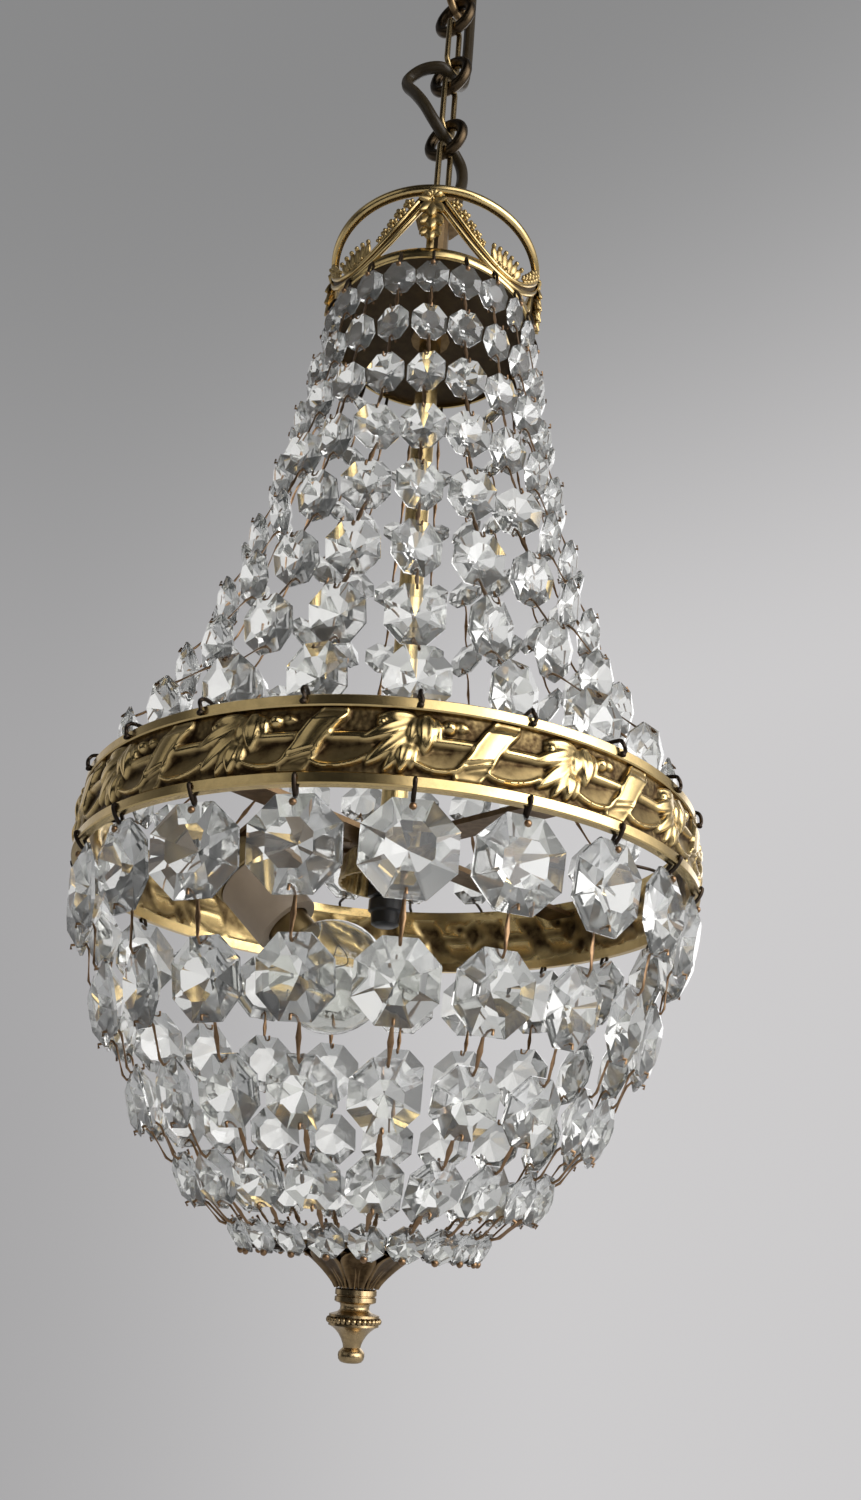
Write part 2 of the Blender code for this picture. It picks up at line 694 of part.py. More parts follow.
def finial(parts):
    """Collar, neck, disc, waist and button, turned in one piece and bored for the stud."""
    profile = (
        (FINIAL_COLLAR, 0.00),
        (FINIAL_COLLAR, 0.19),
        (FINIAL_NECK, 0.21),
        (FINIAL_NECK, 0.31),
        (FINIAL_DISC, 0.36),
        (FINIAL_DISC, 0.50),
        (FINIAL_SKIRT, 0.55),
        (FINIAL_WAIST, 0.77),
        (FINIAL_BUTTON, 0.85),
        (FINIAL_BUTTON, 0.96),
        (FINIAL_WAIST, 1.00),
    )
    bore = STUD_RADIUS + GAP
    bore_foot = FINIAL_TOP - STUD_REACH - GAP
    points = [(0.0, bore_foot), (bore, bore_foot), (bore, FINIAL_TOP)]
    points += [(radius, FINIAL_TOP - share * FINIAL_LENGTH) for radius, share in profile]
    points.append((0.0, FINIAL_TOP - FINIAL_LENGTH))
    knob = place("finial", profile_mesh("finial", points, False), BRASS, parts)
    spin(knob, SMALL_STEPS)


def strand_line(start, start_slope, end, end_slope, turn):
    """Points of a hanging strand between two hooks, as (radius, level) slopes out per drop.

    The curve leaves each hook along its slope, and turn is the bearing of the start from the end.
    """
    drop = (start_slope * start[1] + start[0] - end_slope * end[1] - end[0]) / (start_slope - end_slope)
    corner = (start[0] + start_slope * (start[1] - drop), drop)
    points = []
    for step in range(201):
        t = step / 200
        radius = (1 - t) ** 2 * start[0] + 2 * t * (1 - t) * corner[0] + t * t * end[0]
        level = (1 - t) ** 2 * start[1] + 2 * t * (1 - t) * corner[1] + t * t * end[1]
        bearing = turn * (1 - t)
        points.append(Vector((radius * math.cos(bearing), radius * math.sin(bearing), level)))
    return points


def line_frame(line, distance):
    """Where a strand is at a distance along it: place, outward, side and downward directions."""
    gone = 0.0
    for start, end in zip(line, line[1:]):
        step = (end - start).length
        if gone + step >= distance:
            break
        gone += step
    place_at = start.lerp(end, (distance - gone) / step)
    down = (end - start).normalized()
    radial = Vector((place_at.x, place_at.y, 0.0)).normalized()
    outward = (radial - down * radial.dot(down)).normalized()
    side = outward.cross(down)
    return place_at, outward, side, down


def hung_frame(frame, plumb, tip):
    """A strand's frame turned part of the way to straight down, then tipped to face lower."""
    place_at, outward, _, along = frame
    down = along.lerp(Vector((0.0, 0.0, -1.0)), plumb).normalized()
    facing = (outward - down * outward.dot(down)).normalized()
    side = facing.cross(down)
    turn = Matrix.Rotation(tip, 3, side)
    return place_at, turn @ facing, side, turn @ down


def cut_bead(bm, size, frame, table):
    """An eight-sided crystal with a faceted front and a pointed back.

    Its front has a flat table on the large crystals, and comes to a point on the small ones.
    Returns its facets, for the pins to enter.
    """
    place_at, outward, side, down = frame
    axes = Matrix((side, -down, outward)).transposed().to_4x4()
    crown = BEAD_CROWN * size
    corner = size / 2 / math.cos(math.pi / 8)
    stand = Matrix.Translation(place_at) @ axes
    lift = Matrix.Translation((0.0, 0.0, crown / 2)) @ Matrix.Rotation(math.pi / 8, 4, "Z")
    made = bmesh.ops.create_cone(
        bm,
        cap_ends=True,
        segments=8,
        radius1=corner,
        radius2=corner * table,
        depth=crown,
        matrix=stand @ lift,
    )
    faces = {face for vert in made["verts"] for face in vert.link_faces}
    back = min(faces, key=lambda face: (face.calc_center_median() - place_at).dot(outward))
    faces.remove(back)
    poked = bmesh.ops.poke(bm, faces=[back])
    for vert in poked["verts"]:
        vert.co = place_at - outward * BEAD_PAVILION * size
    return list(faces) + poked["faces"]


def facet_towards(facets, frame, target):
    """The facet of a crystal that looks most towards a place."""
    way = target - frame[0]
    whole = [facet for facet in facets if facet.is_valid]
    return max(whole, key=lambda facet: facet.calc_center_median().dot(way))


def pin_hole(bm, facet):
    """A small copy of a facet in its middle, where a pin goes in."""
    bmesh.ops.inset_individual(bm, faces=[facet], thickness=PIN_WIDTH / 8)
    centre = facet.calc_center_median()
    widest = max(edge.calc_length() for edge in facet.edges)
    for vert in facet.verts:
        vert.co = centre + (vert.co - centre) * (PIN_WIDTH / widest)
    return facet


def pin_to_hook(bm, facet, target, frame):
    """A pin from a crystal's facet to the hole in the rim that holds it."""
    _, outward, side, _ = frame
    hole = pin_hole(bm, facet)
    centre = hole.calc_center_median()
    made = bmesh.ops.extrude_face_region(bm, geom=[hole])
    ends = [item for item in made["geom"] if isinstance(item, bmesh.types.BMVert)]
    for vert in ends:
        offset = vert.co - centre
        vert.co = target + outward * offset.dot(outward) + side * offset.dot(side)
    if hole.is_valid:
        bmesh.ops.delete(bm, geom=[hole], context="FACES_ONLY")


def split_twisted(bm):
    """Splits the twisted sides of the pins into triangles, so that each face is flat."""
    bm.normal_update()
    twisted = []
    for face in bm.faces:
        centre = face.calc_center_median()
        if max(abs((vert.co - centre).dot(face.normal)) for vert in face.verts) > FLATNESS:
            twisted.append(face)
    bmesh.ops.triangulate(bm, faces=twisted)


def fit_beads(line, first, last, count, first_gap, last_gap):
    """Sizes of graded crystals, each kept clear of the same one on the next strand, and the gap between."""
    graded = [first + (last - first) * step / (count - 1) for step in range(count)]
    sizes = list(graded)
    share = math.pi / STRANDS
    spaces = count - 1 if last_gap else count
    for _ in range(6):
        gap = (line_length(line) - first_gap - last_gap - sum(sizes)) / spaces
        distance = first_gap
        for number, size in enumerate(sizes):
            place_at, _, _, down = line_frame(line, distance + size / 2)
            distance += size + gap
            radius = Vector((place_at.x, place_at.y)).length
            slant = Vector((down.x, down.y)).length
            nearest = radius - slant * size / 2 * math.tan(math.pi / 8)
            room = (2 * nearest * math.sin(share) - BEAD_SIDE_GAP) / math.cos(share)
            sizes[number] = min(graded[number], room)
    return sizes, gap


def strand_mesh(name, line, foot_hook, beads, first_gap, table, plumb, tip):
    """Graded crystals pinned one to the next, and to the hooks at both ends."""
    sizes, gap = beads
    bm = bmesh.new()
    distance = first_gap
    above = None
    for size in sizes:
        frame = hung_frame(line_frame(line, distance + size / 2), plumb, tip)
        facets = cut_bead(bm, size, frame, table)
        half = frame[3] * size / 2
        if above is None:
            pin_to_hook(bm, facet_towards(facets, frame, line[0]), line[0], frame)
        else:
            upper_facets, upper_frame, upper_foot = above
            upper = pin_hole(bm, facet_towards(upper_facets, upper_frame, frame[0] - half))
            lower = pin_hole(bm, facet_towards(facets, frame, upper_foot))
            edges = list(upper.edges) + list(lower.edges)
            bmesh.ops.delete(bm, geom=[upper, lower], context="FACES_ONLY")
            bmesh.ops.bridge_loops(bm, edges=edges)
        above = (facets, frame, frame[0] + half)
        distance += size + gap
    pin_to_hook(bm, facet_towards(facets, frame, foot_hook), foot_hook, frame)
    split_twisted(bm)
    return mesh_from(bm, name)


def line_length(line):
    return sum((end - start).length for start, end in zip(line, line[1:]))


def hang_strands(name, mesh, parts):
    for number in range(STRANDS):
        strand = place(f"{name}_{number + 1:02d}", mesh.copy(), CRYSTAL, parts)
        strand.rotation_euler.z = STRAND_BEARING - math.pi / 2 + 2 * math.pi * number / STRANDS


def tent_strands(parts):
    """From the crown's lower band out to the top edge of the main ring."""
    start = (CROWN_BAND_RADIUS - CROWN_BAND_WALL / 2, CROWN_FOOT - GAP)
    end = (BAND_RADIUS - BAND_WALL / 2, BAND_TOP + GAP)
    line = strand_line(start, TENT_TOP_SLOPE, end, TENT_FOOT_SLOPE, CROWN_TURN)
    beads = fit_beads(line, TENT_BEAD_SMALL, TENT_BEAD_LARGE, TENT_BEADS, TENT_HOOK, TENT_LAST_HOOK)
    mesh = strand_mesh("tent_strand", line, line[-1], beads, TENT_HOOK, 0.0, TENT_PLUMB, TENT_TIP)
    hang_strands("tent_strand", mesh, parts)


def basket_strands(parts):
    """From the bottom edge of the main ring down past the base plate, and hooked back to its edge."""
    start = (BAND_RADIUS - BAND_WALL / 2, BAND_FOOT - GAP)
    end = (BASE_RADIUS + BASKET_FOOT_OUT, BASE_TOP - BASKET_FOOT_SAG)
    plate_edge = Vector((BASE_RADIUS + GAP, 0.0, BASE_TOP - BASE_THICK / 2))
    line = strand_line(start, -BASKET_TOP_SLOPE, end, -1.0 / BASKET_FOOT_SLOPE, 0.0)
    graded = (BASKET_BEAD_LARGE, BASKET_BEAD_SMALL, BASKET_BEADS)
    beads = fit_beads(line, *graded, BASKET_HOOK, BASKET_LAST_GAP)
    mesh = strand_mesh("basket_strand", line, plate_edge, beads, BASKET_HOOK, BEAD_TABLE, BASKET_PLUMB, 0.0)
    hang_strands("basket_strand", mesh, parts)


def main():
    clear_scene()
    parts = new_collection("basket_chandelier")
    guides = new_collection("guides")
    hook_plate(parts, guides)
    chain(parts)
    flex_cord(parts)
    stem(parts, guides)
    crown_gallery(parts, guides)
    ring_band(parts)
    spider(parts, guides)
    hub_cup(parts)
    lampholder(parts)
    bulb(parts)
    tent_strands(parts)
    basket_strands(parts)
    base_plate(parts)
    leaf_cup(parts)
    finial(parts)


main()
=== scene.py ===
"""Looks of the basket chandelier: cut crystals, gilt ornament, chain, flex, lamp and studio."""

import math
import random

import bpy
import numpy as np
from mathutils import Matrix, Vector


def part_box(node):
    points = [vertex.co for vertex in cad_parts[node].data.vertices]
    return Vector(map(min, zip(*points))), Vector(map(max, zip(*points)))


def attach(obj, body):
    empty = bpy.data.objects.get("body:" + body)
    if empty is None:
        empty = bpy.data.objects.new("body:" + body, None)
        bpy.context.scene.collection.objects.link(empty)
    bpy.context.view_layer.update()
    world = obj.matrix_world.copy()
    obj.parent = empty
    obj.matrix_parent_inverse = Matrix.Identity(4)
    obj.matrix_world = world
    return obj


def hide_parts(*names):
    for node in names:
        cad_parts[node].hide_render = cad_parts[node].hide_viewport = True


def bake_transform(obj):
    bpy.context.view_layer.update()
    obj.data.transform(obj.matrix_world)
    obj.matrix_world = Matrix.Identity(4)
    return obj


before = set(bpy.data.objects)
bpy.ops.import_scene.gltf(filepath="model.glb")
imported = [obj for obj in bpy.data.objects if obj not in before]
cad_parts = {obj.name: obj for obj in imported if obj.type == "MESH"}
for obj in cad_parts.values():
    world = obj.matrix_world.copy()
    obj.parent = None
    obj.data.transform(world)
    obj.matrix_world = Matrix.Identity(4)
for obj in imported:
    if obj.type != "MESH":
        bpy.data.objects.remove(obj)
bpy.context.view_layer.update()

bl_info = {
    "name": "Basket Chandelier",
    "version": (1, 0, 0),
    "blender": (4, 5, 0),
    "location": "View3D > Sidebar > Chandelier",
    "description": "Builds the looks of a petite crystal basket chandelier",
    "category": "Object",
}

BODY = "chandelier"
CHAIN_TURN = math.radians(-35.0)

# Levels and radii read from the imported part
BAND_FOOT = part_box("ring_band")[0].z
BAND_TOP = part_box("ring_band")[1].z
BAND_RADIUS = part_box("ring_band")[1].x
CROWN_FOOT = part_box("crown_gallery")[0].z
CROWN_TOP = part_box("crown_gallery")[1].z
CROWN_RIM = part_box("crown_gallery")[1].x
BASE_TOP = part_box("base_plate")[1].z
BASE_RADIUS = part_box("base_plate")[1].x
CUP_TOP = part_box("leaf_cup")[1].z
CUP_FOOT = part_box("leaf_cup")[0].z
CUP_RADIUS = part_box("leaf_cup")[1].x
FINIAL_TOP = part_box("finial")[1].z
FINIAL_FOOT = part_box("finial")[0].z
TUBE_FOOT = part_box("stem")[0].z
HUB_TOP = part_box("hub_cup")[1].z
HUB_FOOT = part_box("hub_cup")[0].z
HUB_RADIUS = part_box("hub_cup")[1].x

# Sizes that follow the part's own, in metres, with wires by their radius, and the lamp's angles
FIELD_RADIUS = BAND_RADIUS - 0.0017
INNER_RADIUS = BAND_RADIUS - 0.0030
BAND_WALL = BAND_RADIUS - 0.0015
FILLET = 0.0036
CROWN_WALL = CROWN_RIM - 0.0039
CROWN_WALL_LEAN = 0.0024
CROWN_BAND_TOP = CROWN_FOOT + 0.005
CROWN_RIM_FOOT = CROWN_TOP - 0.004
STRAND_GAP = 0.0003
BASE_THICK = 0.0015
STEM_HOLE = 0.0053
CHAIN_RING_RADIUS = 0.0097
CHAIN_RING_WIRE = 0.0029
LINK_BEND = 0.0050
LINK_WIRE = 0.0015
HOOK_BEND = 0.008
HOOK_ROD = 0.0021
TUBE_RADIUS = 0.00502
LAMP_REACH = 0.0633
ARM_BELOW_BAND = 0.005
LAMP_BELOW_ARM = 0.0037
LAMP_BEARING = math.radians(-105.0)
LAMP_TILT = math.radians(45.0)
HOLDER_LENGTH = 0.038
HOLDER_GAP = 0.0003
BULB_RADIUS = 0.020
BULB_LENGTH = 0.058
BULB_NECK = 0.0076
BULB_SEAT = HOLDER_LENGTH - 0.012 + 0.0006
BULB_WALL = 0.0007

# A crystal of size 1: half width and height of each ring of corners, depth of its point, its holes
CRYSTAL_CUT = ((0.25, 0.155), (0.5, 0.022), (0.5, -0.018))
CRYSTAL_POINT = 0.25
HOLE_REACH = 0.41
HOLE_FRONT = 0.07
HOLE_BACK = -0.055
EDGE_REACH = 0.47

# Height in millimetres at which the ring's relief is drawn
DRAWN_RELIEF = 3.4

# Camera fitted to the photograph, and the studio floor
CAMERA_PLACE = (0.0, -0.3787, BAND_TOP - 0.138)
CAMERA_YAW = math.radians(1.86)
CAMERA_PITCH = math.radians(24.44)
CAMERA_ROLL = math.radians(3.7)
SENSOR = 36.0
FOCAL_PIXELS = 1083.0
PHOTO_HEIGHT = 1500.0
FLOOR_LEVEL = -1.15
FLOOR_RADIUS = 1.5

UP = Vector((0.0, 0.0, 1.0))


def count_property(name, description, default, least):
    return bpy.props.IntProperty(name=name, description=description, default=default, min=least)


def length_property(name, description, default):
    return bpy.props.FloatProperty(name=name, description=description, default=default, unit="LENGTH")


def angle_property(name, description, degrees):
    turn = math.radians(degrees)
    return bpy.props.FloatProperty(name=name, description=description, default=turn, subtype="ANGLE")


class ChandelierSizes(bpy.types.PropertyGroup):
    """Sizes of the ornament and the fine pieces."""

    repeats: count_property("Ribbon repeats", "Ribbon and leaf repeats round the ring", 14, 4)
    relief: length_property("Relief height", "How far the leaves stand out", 0.0034)
    relief_turn: angle_property("Relief turn", "Bearing of the first leaf", 2.9)
    strands: count_property("Strands", "Strands in each tier", 21, 3)
    strand_turn: angle_property("Strand turn", "Bearing of the first strand", 2.7)
    crown_turn: angle_property("Crown turn", "Turn of the crown's hooks", -4.3)
    bead_sway: angle_property("Crystal sway", "Largest turn of a loose crystal", 16.0)
    pin_wire: length_property("Pin wire", "Thickness of the copper pins", 0.0009)
    pin_flat: length_property("Pin flat", "Width of the flattened pins", 0.0019)
    hook_wire: length_property("Hook wire", "Thickness of the rim hooks", 0.0013)
    flex: length_property("Flex", "Diameter of the flex", 0.006)
    finial_beads: count_property("Finial beads", "Beads on the finial's disc", 30, 3)
    cup_leaves: count_property("Cup leaves", "Leaves round the cup", 8, 3)


def colour_property(name, description, default):
    return bpy.props.FloatVectorProperty(
        name=name, description=description, default=default, size=3, min=0.0, max=1.0, subtype="COLOR"
    )


class ChandelierColours(bpy.types.PropertyGroup):
    """Colours of the metals, glass, flex and studio."""

    gilt: colour_property("Gilt", "Bright worn brass", (0.74, 0.55, 0.25))
    # Dark of the tarnish mottle on all the brass, and of the painted shade in the relief hollows.
    gilt_tarnish_and_shade: colour_property("Gilt hollows", "Brass in the hollows", (0.045, 0.026, 0.012))
    aged: colour_property("Aged brass", "Brown brass of the foot", (0.30, 0.205, 0.105))
    finial: colour_property("Finial", "Duller brass of the knob", (0.50, 0.37, 0.20))
    arm: colour_property("Arms", "Brown brass of the arms inside", (0.20, 0.13, 0.07))
    chain: colour_property("Chain", "Antique brass of the chain", (0.065, 0.045, 0.025))
    copper: colour_property("Pins", "Copper of the pins", (0.32, 0.20, 0.11))
    iron: colour_property("Hooks", "Dark iron hooks", (0.045, 0.034, 0.026))
    link: colour_property("Links", "Brass of the slim links", (0.36, 0.26, 0.12))
    # Painted shade: the crown's plate is coloured near black-brown for the shadow it sits in.
    plate: colour_property("Crown plate", "Dull brass of the crown's plate", (0.10, 0.072, 0.042))
    lamp: colour_property("Lampholder", "Brown brass of the lampholder's cap", (0.34, 0.25, 0.12))
    sleeve: colour_property("Sleeve", "Tan sleeve of the lampholder", (0.42, 0.33, 0.24))
    crystal: colour_property("Crystal", "Clear cut glass", (0.955, 0.965, 0.935))
    flex: colour_property("Flex", "Brown flex", (0.030, 0.021, 0.010))
    grip: colour_property("Cord grip", "Black plastic", (0.012, 0.012, 0.013))
    floor: colour_property("Floor", "Pale studio floor", (0.60, 0.59, 0.59))
    # Painted light and shade on the wall behind: bright low on the right, shaded on the left and dark at the
    # top.
    wall: colour_property("Wall", "Bright side of the wall", (0.61, 0.60, 0.605))
    wall_shade: colour_property("Wall shade", "Shaded side of the wall", (0.385, 0.38, 0.385))
    wall_top_shade: colour_property("Wall top", "Dark upper wall", (0.25, 0.25, 0.252))


def sizes():
    return bpy.context.scene.chandelier_sizes


def colours():
    return bpy.context.scene.chandelier_colours


# Mesh helpers


def joined(pieces):
    """One list of points and faces from several."""
    points = []
    faces = []
    for some_points, some_faces in pieces:
        start = len(points)
        points.extend(tuple(point) for point in some_points)
        faces.extend([start + index for index in face] for face in some_faces)
    return points, faces


def make(name, shape, material, body=BODY, smooth=40.0, stands_for=()):
    """An object from points and faces, on a body and in place of CAD nodes."""
    points, faces = shape
    mesh = bpy.data.meshes.new(name)
    mesh.from_pydata([tuple(point) for point in points], [], faces)
    mesh.update()
    if smooth:
        mesh.shade_smooth()
        mesh.set_sharp_from_angle(angle=math.radians(smooth))
    piece = bpy.data.objects.new(name, mesh)
    bpy.context.scene.collection.objects.link(piece)
    mesh.materials.append(material)
    if body:
        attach(piece, body)
    for node in stands_for:
        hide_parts(node)
    return piece


def lathe(profile, steps, closed=False):
    """A turned shape from (radius, level) points, outer side from top to bottom."""
    points = []
    rings = []
    for radius, level in profile:
        if radius < 1e-7:
            rings.append([len(points)])
            points.append((0.0, 0.0, level))
            continue
        rings.append(range(len(points), len(points) + steps))
        for step in range(steps):
            angle = 2 * math.pi * step / steps
            points.append((radius * math.cos(angle), radius * math.sin(angle), level))
    pairs = list(zip(rings, rings[1:]))
    if closed:
        pairs.append((rings[-1], rings[0]))
    faces = []
    for upper, lower in pairs:
        for step in range(steps):
            after = (step + 1) % steps
            if len(upper) == 1 and len(lower) > 1:
                faces.append([upper[0], lower[step], lower[after]])
            elif len(lower) == 1 and len(upper) > 1:
                faces.append([upper[step], lower[0], upper[after]])
            elif len(upper) > 1:
                faces.append([upper[step], lower[step], lower[after], upper[after]])
    return points, faces


def sweep(route, half_sizes, sides=8, closed=False, wide=None):
    """A tube along a route, with a half width and half thickness at each point."""
    route = [Vector(point) for point in route]
    count = len(route)
    tangents = []
    for index in range(count):
        before = route[index - 1] if closed or index else route[index]
        after = route[(index + 1) % count] if closed or index < count - 1 else route[index]
        tangents.append((after - before).normalized())
    across = Vector(wide) if wide is not None else tangents[0].orthogonal()
    points = []
    for point, tangent, half in zip(route, tangents, half_sizes):
        across = (across - tangent * across.dot(tangent)).normalized()
        deep = tangent.cross(across)
        for side in range(sides):
            angle = 2 * math.pi * side / sides
            points.append(point + across * half[0] * math.cos(angle) + deep * half[1] * math.sin(angle))
    faces = []
    for index in range(count if closed else count - 1):
        start = index * sides
        end = (index + 1) % count * sides
        for side in range(sides):
            after = (side + 1) % sides
            faces.append([start + side, start + after, end + after, end + side])
    if not closed:
        faces.append(list(range(sides))[::-1])
        faces.append(list(range(len(points) - sides, len(points))))
    return points, faces


def ellipsoid(centre, axes, rings=5, steps=8):
    """A round bump with three half axes."""
    centre = Vector(centre)
    axes = [Vector(axis) for axis in axes]
    points = [centre + axes[2]]
    for ring in range(1, rings):
        tilt = math.pi * ring / rings
        for step in range(steps):
            turn = 2 * math.pi * step / steps
            around = axes[0] * math.cos(turn) + axes[1] * math.sin(turn)
            points.append(centre + axes[2] * math.cos(tilt) + around * math.sin(tilt))
    points.append(centre - axes[2])
    faces = [[0, 1 + step, 1 + (step + 1) % steps] for step in range(steps)]
    for ring in range(rings - 2):
        start = 1 + ring * steps
        for step in range(steps):
            after = (step + 1) % steps
            faces.append([start + step, start + steps + step, start + steps + after, start + after])
    start = 1 + (rings - 2) * steps
    last = len(points) - 1
    faces += [[start + step, last, start + (step + 1) % steps] for step in range(steps)]
    return points, faces


def smooth_line(points, each):
    """Points on a Catmull-Rom curve through a few given ones."""
    points = [Vector(point) for point in points]
    ends = [points[0] * 2 - points[1]] + points + [points[-1] * 2 - points[-2]]
    line = []
    for before, start, end, after in zip(ends, ends[1:], ends[2:], ends[3:]):
        for step in range(each):
            t = step / each
            bend = start * 2 + (end - before) * t
            bend += (before * 2 - start * 5 + end * 4 - after) * t**2
            bend += (start * 3 - before - end * 3 + after) * t**3
            line.append(bend / 2)
    line.append(points[-1])
    return line


def plate_faces(rows, wide):
    """Faces of a thin plate: a grid of points, the same grid behind it, and the edge between them."""
    back = (rows + 1) * wide
    faces = []
    for row in range(rows):
        for column in range(wide - 1):
            corner = row * wide + column
            quad = [corner, corner + 1, corner + wide + 1, corner + wide]
            faces.append(quad)
            faces.append([back + index for index in quad[::-1]])
    edge = list(range(wide))
    edge += [row * wide + wide - 1 for row in range(1, rows + 1)]
    edge += [rows * wide + column for column in range(wide - 2, -1, -1)]
    edge += [row * wide for row in range(rows - 1, 0, -1)]
    for start, end in zip(edge, edge[1:] + edge[:1]):
        faces.append([end, start, back + start, back + end])
    return faces


def leaf(base, along, side, out, length, width, lift, curl, vein=0.25, rows=8):
    """A pointed leaf with a vein, both faces closed, that lifts off and curls at its tip."""
    points = []
    columns = (-1.0, -0.55, 0.0, 0.55, 1.0)
    for row in range(rows + 1):
        t = row / rows
        half = width / 2 * math.sin(math.pi * min(0.97, 0.12 + 0.85 * t)) ** 0.8
        rise = lift * math.sin(math.pi * t * 0.8) + curl * t**3
        for column in columns:
            dome = 1.0 - column * column - vein * math.exp(-((column / 0.3) ** 2))
            height = rise + dome * width * 0.22
            points.append(base + along * length * t + side * half * column + out * height)
    points += [point - out * width * 0.16 for point in points]
    return points, plate_faces(rows, len(columns))


def outward_of(bearing):
    """Level direction away from the stem at a bearing from the front."""
    return Vector((math.sin(bearing), -math.cos(bearing), 0.0))


def sideways_of(bearing):
    """Level direction along a rim at a bearing from the front."""
    return Vector((math.cos(bearing), math.sin(bearing), 0.0))


# Materials


def stretch(tree, span, result):
    """A node that maps a span of values to a range of results."""
    node = tree.nodes.new("ShaderNodeMapRange")
    node.inputs["From Min"].default_value, node.inputs["From Max"].default_value = span
    node.inputs["To Min"].default_value, node.inputs["To Max"].default_value = result
    return node


def patina_and_shade_group():
    """Worn and tarnished areas of old brass in a noise mottle, and painted shade where the Hollow input is
    raised: colour, roughness and a fine height.
    """
    name = "Patina and painted shade"
    if name in bpy.data.node_groups:
        return bpy.data.node_groups[name]
    group = bpy.data.node_groups.new(name, "ShaderNodeTree")
    for label in ("Bright", "Dark"):
        group.interface.new_socket(label, in_out="INPUT", socket_type="NodeSocketColor")
    for label in ("Hollow", "Mottle", "Scale", "Smooth", "Rough"):
        group.interface.new_socket(label, in_out="INPUT", socket_type="NodeSocketFloat")
    group.interface.new_socket("Colour", in_out="OUTPUT", socket_type="NodeSocketColor")
    group.interface.new_socket("Roughness", in_out="OUTPUT", socket_type="NodeSocketFloat")
    group.interface.new_socket("Height", in_out="OUTPUT", socket_type="NodeSocketFloat")
    nodes = group.nodes
    links = group.links
    start = nodes.new("NodeGroupInput")
    end = nodes.new("NodeGroupOutput")
    place = nodes.new("ShaderNodeTexCoord")
    noise = nodes.new("ShaderNodeTexNoise")
    noise.inputs["Detail"].default_value = 5.0
    noise.inputs["Roughness"].default_value = 0.62
    links.new(place.outputs["Object"], noise.inputs["Vector"])
    links.new(start.outputs["Scale"], noise.inputs["Scale"])
    spread = stretch(group, (0.38, 0.72), (-0.10, 0.34))
    links.new(noise.outputs["Fac"], spread.inputs["Value"])
    total = nodes.new("ShaderNodeMath")
    total.operation = "MULTIPLY_ADD"
    total.use_clamp = True
    links.new(spread.outputs["Result"], total.inputs[0])
    links.new(start.outputs["Mottle"], total.inputs[1])
    links.new(start.outputs["Hollow"], total.inputs[2])
    colour = nodes.new("ShaderNodeMix")
    colour.data_type = "RGBA"
    links.new(total.outputs[0], colour.inputs["Factor"])
    links.new(start.outputs["Bright"], colour.inputs["A"])
    links.new(start.outputs["Dark"], colour.inputs["B"])
    links.new(colour.outputs["Result"], end.inputs["Colour"])
    rough = nodes.new("ShaderNodeMix")
    rough.data_type = "FLOAT"
    links.new(total.outputs[0], rough.inputs["Factor"])
    links.new(start.outputs["Smooth"], rough.inputs["A"])
    links.new(start.outputs["Rough"], rough.inputs["B"])
    links.new(rough.outputs["Result"], end.inputs["Roughness"])
    links.new(noise.outputs["Fac"], end.inputs["Height"])
    return group


def principled(name):
    """A new material and its main shader."""
    made = bpy.data.materials.new(name)
    made.use_nodes = True
    return made, made.node_tree.nodes["Principled BSDF"]


def metal(name, bright, dark, hollow, mottle=1.0, scale=260.0, smooth=0.22, rough=0.5, relief=False):
    """Brass with a patina mottle. With relief on, painted shade darkens what lies low in a mesh's relief
    attribute.
    """
    if name in bpy.data.materials:
        return bpy.data.materials[name]
    made, shader = principled(name)
    nodes = made.node_tree.nodes
    links = made.node_tree.links
    patina_and_shade = nodes.new("ShaderNodeGroup")
    patina_and_shade.node_tree = patina_and_shade_group()
    patina_and_shade.inputs["Bright"].default_value = (*bright, 1.0)
    patina_and_shade.inputs["Dark"].default_value = (*dark, 1.0)
    patina_and_shade.inputs["Hollow"].default_value = hollow
    patina_and_shade.inputs["Mottle"].default_value = mottle
    patina_and_shade.inputs["Scale"].default_value = scale
    patina_and_shade.inputs["Smooth"].default_value = smooth
    patina_and_shade.inputs["Rough"].default_value = rough
    # Painted shade: the relief attribute darkens the hollows of the relief towards the dark colour.
    if relief:
        height = nodes.new("ShaderNodeAttribute")
        height.attribute_name = "relief"
        low = stretch(made.node_tree, (0.05, 0.62), (0.92, 0.0))
        links.new(height.outputs["Fac"], low.inputs["Value"])
        links.new(low.outputs["Result"], patina_and_shade.inputs["Hollow"])
    links.new(patina_and_shade.outputs["Colour"], shader.inputs["Base Color"])
    links.new(patina_and_shade.outputs["Roughness"], shader.inputs["Roughness"])
    shader.inputs["Metallic"].default_value = 1.0
    bumps = nodes.new("ShaderNodeBump")
    bumps.inputs["Strength"].default_value = 0.25
    bumps.inputs["Distance"].default_value = 0.0001
    links.new(patina_and_shade.outputs["Height"], bumps.inputs["Height"])
    links.new(bumps.outputs["Normal"], shader.inputs["Normal"])
    return made


def brass(name, colour, hollow, **finish):
    """A metal whose tarnish and painted shade in hollows go as dark as the gilt's."""
    return metal(name, colour, colours().gilt_tarnish_and_shade, hollow, **finish)


def gilt():
    return brass("Gilt", colours().gilt, hollow=0.04, mottle=0.5, smooth=0.2, rough=0.45)


def gilt_relief():
    return brass("Gilt relief", colours().gilt, hollow=0.0, mottle=0.5, smooth=0.2, rough=0.5, relief=True)


def aged_gilt():
    return brass("Aged gilt", colours().gilt, hollow=0.32, scale=420.0, smooth=0.28, rough=0.55)


